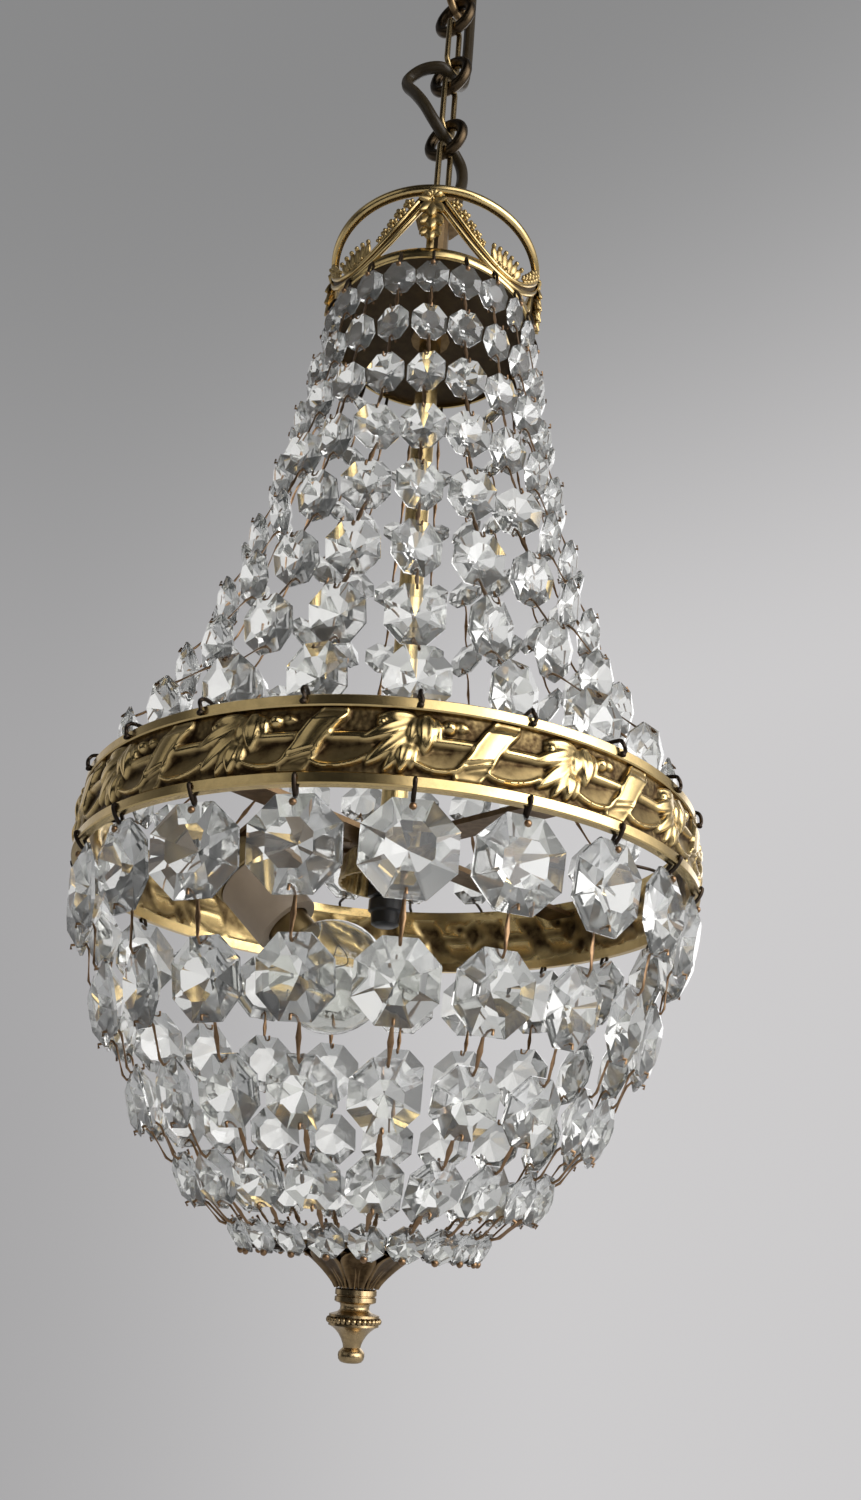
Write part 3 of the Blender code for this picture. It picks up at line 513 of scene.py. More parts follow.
def aged():
    return brass("Aged brass", colours().aged, hollow=0.25, scale=320.0, smooth=0.3, rough=0.55)


def aged_leaf():
    return brass("Aged leaves", colours().aged, hollow=0.3, scale=380.0, smooth=0.3, relief=True)


def finial_brass():
    return brass("Finial brass", colours().finial, hollow=0.08, scale=420.0, smooth=0.26, rough=0.5)


def arm_brass():
    return brass("Arm brass", colours().arm, hollow=0.15, scale=300.0, smooth=0.3, rough=0.55)


def chain_metal():
    return metal("Chain brass", colours().chain, colours().iron, hollow=0.1, scale=300.0, smooth=0.28)


def link_metal():
    return metal("Link brass", colours().link, colours().iron, hollow=0.1, scale=300.0, smooth=0.25)


# Painted shade: the crown's plate and the swag grooves sit in shadow, so their brass is coloured near black.
def plate_in_painted_shade():
    plate_shade = colours().plate
    return metal("Dark plate", plate_shade, colours().iron, hollow=0.2, scale=220.0, smooth=0.5, rough=0.7)


def copper():
    return brass("Copper pins", colours().copper, hollow=0.05, scale=500.0, smooth=0.35, rough=0.6)


def iron():
    return brass("Iron hooks", colours().iron, hollow=0.0, scale=500.0, smooth=0.45, rough=0.6)


def tarnish():
    return brass("Lamp brass", colours().lamp, hollow=0.05, mottle=0.4, scale=200.0, smooth=0.42, rough=0.6)


def cloudy(name, scale, sheen):
    """A new material whose roughness varies over a range by a noise, and its mix of two colours."""
    made, shader = principled(name)
    nodes = made.node_tree.nodes
    links = made.node_tree.links
    place = nodes.new("ShaderNodeTexCoord")
    noise = nodes.new("ShaderNodeTexNoise")
    noise.inputs["Scale"].default_value = scale
    noise.inputs["Detail"].default_value = 3.0
    links.new(place.outputs["Object"], noise.inputs["Vector"])
    tint = nodes.new("ShaderNodeMix")
    tint.data_type = "RGBA"
    links.new(noise.outputs["Fac"], tint.inputs["Factor"])
    links.new(tint.outputs["Result"], shader.inputs["Base Color"])
    film = stretch(made.node_tree, (0.3, 0.7), sheen)
    links.new(noise.outputs["Fac"], film.inputs["Value"])
    links.new(film.outputs["Result"], shader.inputs["Roughness"])
    return made, shader, tint


def plastic(name, colour, roughness, scale, gloss=0.5, vary=0.2):
    """A dull surface that varies a little in colour and sheen."""
    if name in bpy.data.materials:
        return bpy.data.materials[name]
    made, shader, tint = cloudy(name, scale, (roughness * 0.85, roughness * 1.15))
    tint.inputs["A"].default_value = (*(share * (1.0 - vary) for share in colour), 1.0)
    tint.inputs["B"].default_value = (*(share * (1.0 + vary) for share in colour), 1.0)
    shader.inputs["Specular IOR Level"].default_value = gloss
    return made


def glass(name, colour, ior, through, clear, dusty):
    """Glass with a thin film of dust in places."""
    if name in bpy.data.materials:
        return bpy.data.materials[name]
    made, shader, tint = cloudy(name, 70.0, (clear, dusty))
    tint.inputs["A"].default_value = (*colour, 1.0)
    tint.inputs["B"].default_value = (*(share * 0.96 for share in colour), 1.0)
    shader.inputs["IOR"].default_value = ior
    shader.inputs["Transmission Weight"].default_value = through
    return made


def crystal():
    return glass("Crystal", colours().crystal, ior=1.52, through=0.93, clear=0.0, dusty=0.03)


def bulb_glass():
    return glass("Bulb glass", colours().crystal, ior=1.45, through=0.96, clear=0.0, dusty=0.03)


# Strands


def strand_line(start, end, start_slope, end_slope, turn):
    """The line of a strand between two hooks, leaving each along its slope."""
    drop = (start_slope * start[1] + start[0] - end_slope * end[1] - end[0]) / (start_slope - end_slope)
    corner = (start[0] + start_slope * (start[1] - drop), drop)
    line = []
    for step in range(201):
        t = step / 200
        radius = (1 - t) ** 2 * start[0] + 2 * t * (1 - t) * corner[0] + t * t * end[0]
        level = (1 - t) ** 2 * start[1] + 2 * t * (1 - t) * corner[1] + t * t * end[1]
        bearing = turn * (1 - t)
        line.append(Vector((radius * math.cos(bearing), radius * math.sin(bearing), level)))
    return line


def line_length(line):
    """Length along a line of points."""
    return sum((end - start).length for start, end in zip(line, line[1:]))


def line_frame(line, distance):
    """Place, outward, side and downward directions at a distance along a strand."""
    gone = 0.0
    for start, end in zip(line, line[1:]):
        step = (end - start).length
        if gone + step >= distance:
            break
        gone += step
    place = start.lerp(end, (distance - gone) / step)
    down = (end - start).normalized()
    radial = Vector((place.x, place.y, 0.0)).normalized()
    outward = (radial - down * radial.dot(down)).normalized()
    return place, outward, outward.cross(down), down


def fit_beads(line, first, last, count, first_gap, last_gap):
    """Sizes of graded crystals, each clear of the same one on the next strand, and the gap between."""
    graded = [first + (last - first) * step / (count - 1) for step in range(count)]
    fitted = list(graded)
    share = math.pi / sizes().strands
    for _ in range(6):
        gap = (line_length(line) - first_gap - last_gap - sum(fitted)) / (count - 1)
        distance = first_gap
        for number, size in enumerate(fitted):
            place, _, _, down = line_frame(line, distance + size / 2)
            distance += size + gap
            radius = Vector((place.x, place.y)).length
            slant = Vector((down.x, down.y)).length
            nearest = radius - slant * size / 2 * math.tan(math.pi / 8)
            room = (2 * nearest * math.sin(share) - 0.0003) / math.cos(share)
            fitted[number] = min(graded[number], room)
    return fitted, gap


def cut_crystal(size, frame_at):
    """An octagon crystal: table, eight crown facets, thin girdle and a pointed back of eight facets."""
    place, outward, side, down = frame_at
    points = []
    for across, height in CRYSTAL_CUT:
        for step in range(8):
            angle = math.pi * (step + 0.5) / 4
            reach = across * size / math.cos(math.pi / 8)
            offset = side * reach * math.cos(angle) + down * reach * math.sin(angle)
            points.append(place + offset + outward * height * size)
    points.append(place - outward * CRYSTAL_POINT * size)
    faces = [list(range(8))[::-1]]
    for ring in (0, 8):
        for step in range(8):
            after = (step + 1) % 8
            faces.append([ring + step, ring + after, ring + 8 + after, ring + 8 + step])
    for step in range(8):
        faces.append([16 + step, 16 + (step + 1) % 8, 24])
    return points, faces


def turned_frame(frame_at, turn, tip):
    """A crystal's frame after it turns on its wires and tips a little."""
    place, outward, side, down = frame_at
    roll = Matrix.Rotation(turn, 3, down)
    lean = Matrix.Rotation(tip, 3, side)
    mix = roll @ lean
    return place, mix @ outward, mix @ side, mix @ down


def hung_frame(frame_at, plumb, tip):
    """A strand's frame turned part of the way to straight down, then tipped to face lower."""
    place, outward, _, along = frame_at
    down = along.lerp(-UP, plumb).normalized()
    facing = (outward - down * outward.dot(down)).normalized()
    side = facing.cross(down)
    turn = Matrix.Rotation(tip, 3, side)
    return place, turn @ facing, side, turn @ down


def hole(frame_at, size, end, front):
    """A point on a crystal's drilled hole near its upper (-1) or lower (1) edge."""
    place, outward, _, down = frame_at
    height = HOLE_FRONT if front else HOLE_BACK
    return place + down * end * size * HOLE_REACH + outward * (size * height)


def pin(upper, upper_size, lower, lower_size):
    """A flattened copper pin from one crystal to the next, its ends hooked through the holes.

    It leaves and enters on the sides that look at each other.
    """
    wire = sizes().pin_wire / 2
    flat = sizes().pin_flat / 2
    top = hole(upper, upper_size, 1, True)
    low = hole(lower, lower_size, -1, True)
    lean = (low - top).dot(upper[1]) > 0
    top_near = hole(upper, upper_size, 1, lean)
    top_far = hole(upper, upper_size, 1, not lean)
    low_near = hole(lower, lower_size, -1, not lean)
    low_far = hole(lower, lower_size, -1, lean)
    top_out = upper[1] if lean else -upper[1]
    low_out = -lower[1] if lean else lower[1]
    span = low_near - top_near
    route = [
        top_far - top_out * wire * 3 + span * 0.10,
        top_far - top_out * wire * 2.4,
        top_near + top_out * wire * 1.2,
        top_near + top_out * wire * 2.2 + span * 0.14,
        top_near.lerp(low_near, 0.34) + top_out * wire,
        top_near.lerp(low_near, 0.5),
        top_near.lerp(low_near, 0.66) + low_out * wire,
        low_near + low_out * wire * 2.2 - span * 0.14,
        low_near + low_out * wire * 1.2,
        low_far - low_out * wire * 2.4,
        low_far - low_out * wire * 3 - span * 0.10,
    ]
    thin = (wire, wire)
    halves = [thin, thin, thin, thin, (flat * 0.7, wire * 0.6), (flat, wire * 0.5), (flat * 0.7, wire * 0.6)]
    halves += [thin, thin, thin, thin]
    return sweep(route, halves, 6, wide=upper[2])


def hook(start, end, out, side, swell):
    """A small closed wire loop between a hole in a rim and a crystal's edge."""
    wire = sizes().hook_wire / 2
    middle = (start + end) / 2
    half = (end - start) / 2
    route = []
    for step in range(14):
        angle = 2 * math.pi * step / 14
        route.append(middle + half * 1.1 * math.cos(angle) + out * swell * math.sin(angle))
    return sweep(route, [(wire, wire)] * 14, 6, closed=True, wide=side)


def edge_hook(foot, edge, frame_at):
    """A wire hook from a hole in the ring's face up over its edge to a crystal, and the hook's curl."""
    wire = sizes().hook_wire / 2
    route = [
        foot - Vector((0.0012, 0.0, 0.0)),
        foot,
        foot + Vector((0.0007, 0.0005, 0.0013)),
        foot + Vector((0.0004, -0.0004, 0.0036)),
        foot + Vector((-0.0018, 0.0, 0.0050)),
        edge + frame_at[1] * wire * 2,
        edge - frame_at[1] * wire * 4,
    ]
    bent = smooth_line(route, 4)
    curl = sizes().hook_wire * 0.85
    end = ellipsoid(foot, (UP * curl, frame_at[2] * curl, frame_at[1] * curl))
    return sweep(bent, [(wire, wire)] * len(bent), 6, wide=frame_at[2]), end


def pin_head(frame_at, size, end):
    """The round brown head of a pin on the front of a crystal's hole."""
    _, outward, side, down = frame_at
    half = sizes().pin_flat * 0.62
    centre = hole(frame_at, size, end, True) + outward * half * 0.3
    return ellipsoid(centre, (side * half, down * half, outward * half * 0.8), 5, 8)


def moved(shape, turn):
    """A shape turned to its strand's bearing."""
    points, faces = shape
    return [turn @ Vector(point) for point in points], faces


def hang_tier(name, line, beads, first_gap, poise, top_out, foot, looped):
    """All strands of one tier: crystals in place of the CAD strands, then pins and hooks on their own."""
    fitted, gap = beads
    plumb, tip, sway = poise
    chance = random.Random(name)
    pins = []
    hooks = []
    for number in range(sizes().strands):
        bearing = sizes().strand_turn - math.pi / 2 + 2 * math.pi * number / sizes().strands
        turn = Matrix.Rotation(bearing, 3, "Z")
        crystals = []
        distance = first_gap
        previous = None
        for size in fitted:
            still = hung_frame(line_frame(line, distance + size / 2), plumb, tip)
            loose = chance.uniform(-1.0, 1.0) ** 3
            frame_at = turned_frame(still, sway * loose, chance.uniform(-0.06, 0.06))
            distance += size + gap
            crystals.append(moved(cut_crystal(size, frame_at), turn))
            if previous:
                pins.append(moved(pin(previous[0], previous[1], frame_at, size), turn))
            else:
                edge = frame_at[0] - frame_at[3] * size * EDGE_REACH
                loop = hook(line[0] + top_out, edge, frame_at[1], frame_at[2], swell=0.0011)
                hooks.append(moved(loop, turn))
                pins.append(moved(pin_head(frame_at, size, -1), turn))
            previous = (frame_at, size)
        frame_at, size = previous
        pins.append(moved(pin_head(frame_at, size, 1), turn))
        if looped:
            shapes = edge_hook(foot, hole(frame_at, size, 1, True), frame_at)
            hooks.extend(moved(shape, turn) for shape in shapes)
        else:
            low = hole(frame_at, size, 1, False)
            route = [low + frame_at[1] * 0.001, low - frame_at[1] * 0.001]
            route += [(low + foot) / 2 - UP * 0.0006, foot]
            bent = smooth_line(route, 4)
            wire = sizes().hook_wire / 2
            hooks.append(moved(sweep(bent, [(wire, wire)] * len(bent), 6, wide=frame_at[2]), turn))
        label = f"{name}_crystals_{number + 1:02d}"
        node = f"{name}_strand_{number + 1:02d}"
        piece = make(label, joined(crystals), crystal(), smooth=None, stands_for=[node])
    make(f"{name}_pins", joined(pins), copper(), smooth=60.0)
    make(f"{name}_hooks", joined(hooks), iron(), smooth=60.0)


class CHANDELIER_OT_tent(bpy.types.Operator):
    """Hangs the upper strands from the crown out to the ring"""

    bl_idname = "chandelier.tent"
    bl_label = "Upper Strands"

    def execute(self, context):
        start = (CROWN_WALL, CROWN_FOOT - STRAND_GAP)
        end = (BAND_WALL, BAND_TOP + STRAND_GAP)
        line = strand_line(start, end, start_slope=0.10, end_slope=1.00, turn=sizes().crown_turn)
        first_gap = 0.005
        beads = fit_beads(line, first=0.0148, last=0.0205, count=8, first_gap=first_gap, last_gap=0.004)
        foot = line[-1] + Vector((0.0022, 0.0, -0.0028))
        top_out = Vector((0.0011, 0.0, 0.0022))
        poise = (0.85, math.radians(18.0), sizes().bead_sway * 1.6)
        hang_tier("tent", line, beads, first_gap, poise, top_out, foot, looped=True)
        return {"FINISHED"}


class CHANDELIER_OT_basket(bpy.types.Operator):
    """Hangs the lower strands from the ring in to the base plate"""

    bl_idname = "chandelier.basket"
    bl_label = "Lower Strands"

    def execute(self, context):
        start = (BAND_WALL, BAND_FOOT - STRAND_GAP)
        end = (BASE_RADIUS + 0.0052, BASE_TOP - 0.0035)
        line = strand_line(start, end, start_slope=-0.26, end_slope=-1.0 / 0.60, turn=0.0)
        first_gap = 0.002
        beads = fit_beads(line, first=0.0272, last=0.0128, count=5, first_gap=first_gap, last_gap=0.0015)
        foot = Vector((BASE_RADIUS - 0.0006, 0.0, BASE_TOP - BASE_THICK / 2))
        top_out = Vector((0.0018, 0.0, 0.0026))
        poise = (0.40, 0.0, sizes().bead_sway)
        hang_tier("basket", line, beads, first_gap, poise, top_out, foot, looped=False)
        return {"FINISHED"}


# Ring band


def petal(s, h, base, aim, length, width, height, curl=0.0):
    """Relief of one leaf lobe that starts at a base point and aims at an angle, in millimetres."""
    angle = math.radians(aim)
    x = (s - base[0]) * math.cos(angle) + (h - base[1]) * math.sin(angle)
    y = (h - base[1]) * math.cos(angle) - (s - base[0]) * math.sin(angle)
    y = y - curl * x * x / length
    t = np.clip(x / length, 0.0, 1.0)
    half = width / 2 * np.power(np.clip(np.sin(np.pi * np.power(t, 0.75)), 0.0, 1.0), 0.55) + 1e-6
    inside = (x > 0) & (x < length) & (np.abs(y) < half)
    share = np.clip(np.abs(y) / half, 0.0, 1.0)
    dome = np.sqrt(1.0 - share * share)
    groove = 1.0 - 0.14 * (0.5 + 0.5 * np.cos(np.pi * share * 2))
    rise = 0.55 + 0.45 * np.sin(np.pi * np.clip(t * 1.1 - 0.1, 0.0, 1.0))
    return np.where(inside, height * dome * groove * rise, 0.0)


def ball(s, h, centre, radius, height):
    """Relief of a round bud, in millimetres."""
    away = ((s - centre[0]) ** 2 + (h - centre[1]) ** 2) / radius**2
    return height * np.sqrt(np.clip(1.0 - away, 0.0, 1.0))


def line_distance(s, h, points):
    """Distance from a line of points, signed by side, and the share of the way along it."""
    best = np.full(s.shape, 1e9)
    signed = np.zeros(s.shape)
    share = np.zeros(s.shape)
    for index, (start, end) in enumerate(zip(points, points[1:])):
        along = np.array(end) - np.array(start)
        length = float(np.hypot(*along))
        t = np.clip(((s - start[0]) * along[0] + (h - start[1]) * along[1]) / length**2, 0.0, 1.0)
        away = np.hypot(s - start[0] - t * along[0], h - start[1] - t * along[1])
        side = np.sign((s - start[0]) * along[1] - (h - start[1]) * along[0])
        nearer = away < best
        best = np.where(nearer, away, best)
        signed = np.where(nearer, away * side, signed)
        share = np.where(nearer, (index + t) / (len(points) - 1), share)
    return best, signed, share


def rod(s, h, start, end, level, radius, height):
    """Relief of a round stick between two places, in millimetres."""
    dome = np.sqrt(np.clip(1.0 - ((h - level) / radius) ** 2, 0.0, 1.0))
    ends = np.clip((s - start) / 0.6, 0.0, 1.0) * np.clip((end - s) / 0.6, 0.0, 1.0)
    return height * dome * ends


def ribbon(s, h):
    """The ribbon that crosses the stick: domed, with raised edges and two creases near its foot."""
    middle = smooth_line([(13.6, -8.6, 0), (16.8, -4.2, 0), (20.4, 2.4, 0), (25.2, 8.6, 0)], 6)
    away = line_distance(s, h, [tuple(point[:2]) for point in middle])[0]
    flat = np.clip((3.9 - away) / 0.3, 0.0, 1.0)
    fall = np.clip((h + 9.5) / 5.5, 0.35, 1.0) * np.clip((10.5 - h) / 5.0, 0.45, 1.0)
    dome = 2.9 - 0.7 * (away / 3.9) ** 2
    edge = 0.75 * np.exp(-(((away - 3.45) / 0.33) ** 2))
    slant = h - 0.25 * (s - 16.0)
    crease = 0.9 * np.exp(-(((slant + 4.4) / 0.3) ** 2)) + 0.9 * np.exp(-(((slant + 5.8) / 0.3) ** 2))
    return flat * (dome * fall + edge - crease * np.clip((3.0 - away) / 0.4, 0.0, 1.0))


def rim_arc(s, h, points):
    """A ribbon edge that curls under, with the ribbon's inside falling away from it to the stick."""
    line = [tuple(point[:2]) for point in smooth_line([(*point, 0) for point in points], 6)]
    away, signed, share = line_distance(s, h, line)
    fade = np.clip(np.sin(np.pi * share) * 3, 0.0, 1.0)
    edge = 2.1 * np.sqrt(np.clip(1.0 - (away / 0.7) ** 2, 0.0, 1.0)) * fade
    inside = (s > line[0][0]) & (s < line[-1][0]) & (signed < 0) & (h < 1.0)
    hollow = np.where(inside, np.clip(1.5 - 0.22 * away, 0.2, 1.5), 0.0)
    return np.maximum(edge, hollow)


def repeat_length():
    """Length of one repeat of the relief round the ring, in millimetres."""
    return 2 * math.pi * FIELD_RADIUS * 1000 / sizes().repeats


def relief_of(s, h):
    """Relief of one repeat in millimetres: stick, ribbon, curled edges and an acanthus spray."""
    unit = repeat_length()
    total = np.zeros(s.shape)
    for shift in (0.0, unit, -unit):
        x = s - shift
        shapes = (
            rod(x, h, 3.0, 38.0, 0.9, 1.75, 2.1),
            ribbon(x, h),
            rim_arc(x, h, [(-3.5, -2.6), (-1.0, -6.0), (4.5, -8.0), (10.5, -7.2), (14.6, -3.6)]),
            rim_arc(x, h, [(17.8, -5.4), (21.5, -7.7), (27.0, -8.0), (32.5, -6.4), (36.5, -3.6)]),
            petal(x, h, (1.4, 8.9), -86.0, 12.0, 7.4, 3.7, -0.05),
            petal(x, h, (3.9, 7.8), -74.0, 7.6, 4.2, 3.0, -0.10),
            petal(x, h, (-0.8, 7.8), -104.0, 9.8, 4.8, 3.1, 0.08),
            ball(x, h, (8.2, 5.6), 2.3, 2.7),
            petal(x, h, (9.6, 6.6), -8.0, 4.4, 3.4, 1.6),
            petal(x, h, (-2.8, 1.0), -105.0, 10.4, 5.6, 3.3, 0.06),
            petal(x, h, (-1.2, 0.4), -92.0, 8.6, 3.8, 2.6, -0.06),
            petal(x, h, (-1.2, 7.8), 190.0, 11.0, 5.0, 2.8, -0.10),
            petal(x, h, (-1.4, 6.6), 210.0, 16.2, 6.4, 3.5, -0.08),
            petal(x, h, (-1.8, 4.8), 229.0, 17.4, 6.2, 3.2, -0.08),
            petal(x, h, (-2.4, 2.8), 243.0, 13.6, 5.0, 2.8, -0.05),
            ball(x, h, (-10.4, 5.2), 1.9, 2.9),
        )
        for shape in shapes:
            total = np.maximum(total, shape)
    ground = 0.16 * np.sin(2.9 * s + 1.7 * np.sin(2.3 * h)) * np.sin(3.1 * h + 1.3 * np.sin(1.9 * s))
    return np.where(total < 0.15, 0.15 + ground, total)


def softened(height, passes):
    """The height field blurred round the ring and up its width."""
    soft = height.copy()
    for _ in range(passes):
        soft = (np.roll(soft, 1, 0) + np.roll(soft, -1, 0) + 2 * soft) / 4
        padded = np.pad(soft, ((0, 0), (1, 1)), mode="edge")
        soft = (padded[:, :-2] + padded[:, 2:] + 2 * soft) / 4
    return soft


def wrap_field(radius_of, rows, columns, low, high, blur, reach):
    """Points and faces of the relief all round the ring, and how far each stands clear of the hollows, which
    the relief material turns into painted shade in the hollows.
    """
    repeats = sizes().repeats
    unit = repeat_length()
    s, h = np.meshgrid(np.arange(columns) / columns * unit, np.linspace(-1.0, 1.0, rows), indexing="ij")
    half = (high - low) / 2
    height = softened(relief_of(s, h * half * 1000), blur)
    height = height * np.clip((1.0 - np.abs(h)) / 0.05, 0.0, 1.0)
    points = []
    for repeat in range(repeats):
        bearing = sizes().relief_turn + (s / unit + repeat) * 2 * math.pi / repeats
        radius = radius_of(height)
        level = (low + high) / 2 + h * half
        corners = np.stack([radius * np.sin(bearing), -radius * np.cos(bearing), level], -1)
        points.append(corners.reshape(-1, 3))
    around = repeats * columns
    faces = []
    for column in range(around):
        start = column * rows
        after = (column + 1) % around * rows
        for row in range(rows - 1):
            faces.append([start + row, after + row, after + row + 1, start + row + 1])
    # Painted shade: the share falls where the relief is low and sunk below its surroundings, so the material
    # darkens the hollows.
    clear = height - softened(height, reach)
    share = np.clip(0.10 + 0.16 * height + 0.42 * clear, 0.0, 1.0)
    return np.concatenate(points), faces, np.tile(share.reshape(-1), repeats)


class CHANDELIER_OT_ring(bpy.types.Operator):
    """Builds the ring with its fillets, its ribbon-and-leaf field and the stamped inside"""

    bl_idname = "chandelier.ring"
    bl_label = "Ring Band"

    def execute(self, context):
        edge = 0.0004
        pieces = []
        for top, foot in ((BAND_TOP, BAND_TOP - FILLET), (BAND_FOOT + FILLET, BAND_FOOT)):
            profile = (
                (INNER_RADIUS, top),
                (BAND_RADIUS - edge, top),
                (BAND_RADIUS, top - edge),
                (BAND_RADIUS, foot + edge),
                (BAND_RADIUS - edge, foot),
                (FIELD_RADIUS, foot),
                (INNER_RADIUS, foot),
            )
            pieces.append(lathe(profile, 168, closed=True))
        piece = make("ring_fillets", joined(pieces), gilt(), smooth=30.0, stands_for=["ring_band"])
        low = BAND_FOOT + FILLET
        high = BAND_TOP - FILLET
        scale = sizes().relief / DRAWN_RELIEF

        def raised(height):
            return FIELD_RADIUS + height * scale

        def stamped(height):
            return INNER_RADIUS + height * scale * 0.5

        points, faces, share = wrap_field(raised, rows=56, columns=126, low=low, high=high, blur=1, reach=21)
        outer = make("ring_field", (points, faces), gilt_relief(), smooth=70.0)
        points, faces, back = wrap_field(stamped, rows=26, columns=64, low=low, high=high, blur=2, reach=26)
        inside = make("ring_inside", (points, [face[::-1] for face in faces]), gilt_relief(), smooth=80.0)
        # Painted shade: the outer field darkens in its hollows, the inside where it lies behind the raised
        # leaves.
        for wall, shares in ((outer, share), (inside, np.clip(0.55 - back * 0.6, 0.0, 1.0))):
            marks = wall.data.attributes.new("relief", "FLOAT", "POINT")
            marks.data.foreach_set("value", shares.astype(np.float32))
        return {"FINISHED"}


# Crown


def crown_wall(level):
    """Middle of the gallery's wall at a level."""
    lean = min(1.0, max(0.0, (level - CROWN_BAND_TOP) / (CROWN_RIM_FOOT - CROWN_BAND_TOP)))
    return CROWN_WALL + lean * CROWN_WALL_LEAN


def on_crown(bearing, level, out=0.0):
    """A point on the gallery's wall, or a distance out from it."""
    return outward_of(bearing) * (crown_wall(level) + out) + UP * level


def floret(bearing, level, radius, petals=5):
    """A small flower of round petals on the gallery."""
    out = outward_of(bearing)
    side = sideways_of(bearing)
    centre = on_crown(bearing, level, 0.0009)
    eye = (side * radius * 0.36, UP * radius * 0.36, out * radius * 0.4)
    pieces = [ellipsoid(centre + out * radius * 0.35, eye, 4, 6)]
    for number in range(petals):
        angle = 2 * math.pi * number / petals + bearing
        away = side * math.cos(angle) + UP * math.sin(angle)
        cross = side * -math.sin(angle) + UP * math.cos(angle)
        lobe = (away * radius * 0.5, cross * radius * 0.4, out * radius * 0.42)
        pieces.append(ellipsoid(centre + away * radius * 0.6, lobe, 4, 6))
    return joined(pieces)


def crown_leaf(bearing, level, aim, length, width, lift=0.0008, curl=0.0010):
    """A leaf on the gallery that aims at an angle from straight up."""
    out = outward_of(bearing)
    side = sideways_of(bearing)
    along = UP * math.cos(aim) + side * math.sin(aim)
    across = side * math.cos(aim) - UP * math.sin(aim)
    return leaf(on_crown(bearing, level, 0.0006), along, across, out, length, width, lift, curl)


def swag_level(t):
    """Level of a swag's middle line at a share of its length."""
    top = CROWN_TOP - 0.0035
    foot = CROWN_FOOT + 0.0042
    return top + (foot - top) * math.sin(min(1.0, max(0.0, t)) * math.pi) ** 0.9


def on_swag(start, t, offset):
    """Bearing and level at a share of a swag, moved off its middle line at right angles to it."""
    level = swag_level(t)
    reach = crown_wall(level)
    run = reach * math.pi / 2 * 0.01
    rise = swag_level(t + 0.005) - swag_level(t - 0.005)
    size = math.hypot(run, rise)
    return start + t * math.pi / 2 - offset * rise / size / reach, level + offset * run / size


def strap(start, offset, half_wide, half_deep, out):
    """One ridge of a swag, moved off its middle line by an offset."""
    route = []
    for step in range(41):
        t = 0.02 + 0.96 * step / 40
        route.append(on_crown(*on_swag(start, t, offset), out))
    return sweep(route, [(half_deep, half_wide)] * 41, 8, wide=outward_of(start + 0.2))


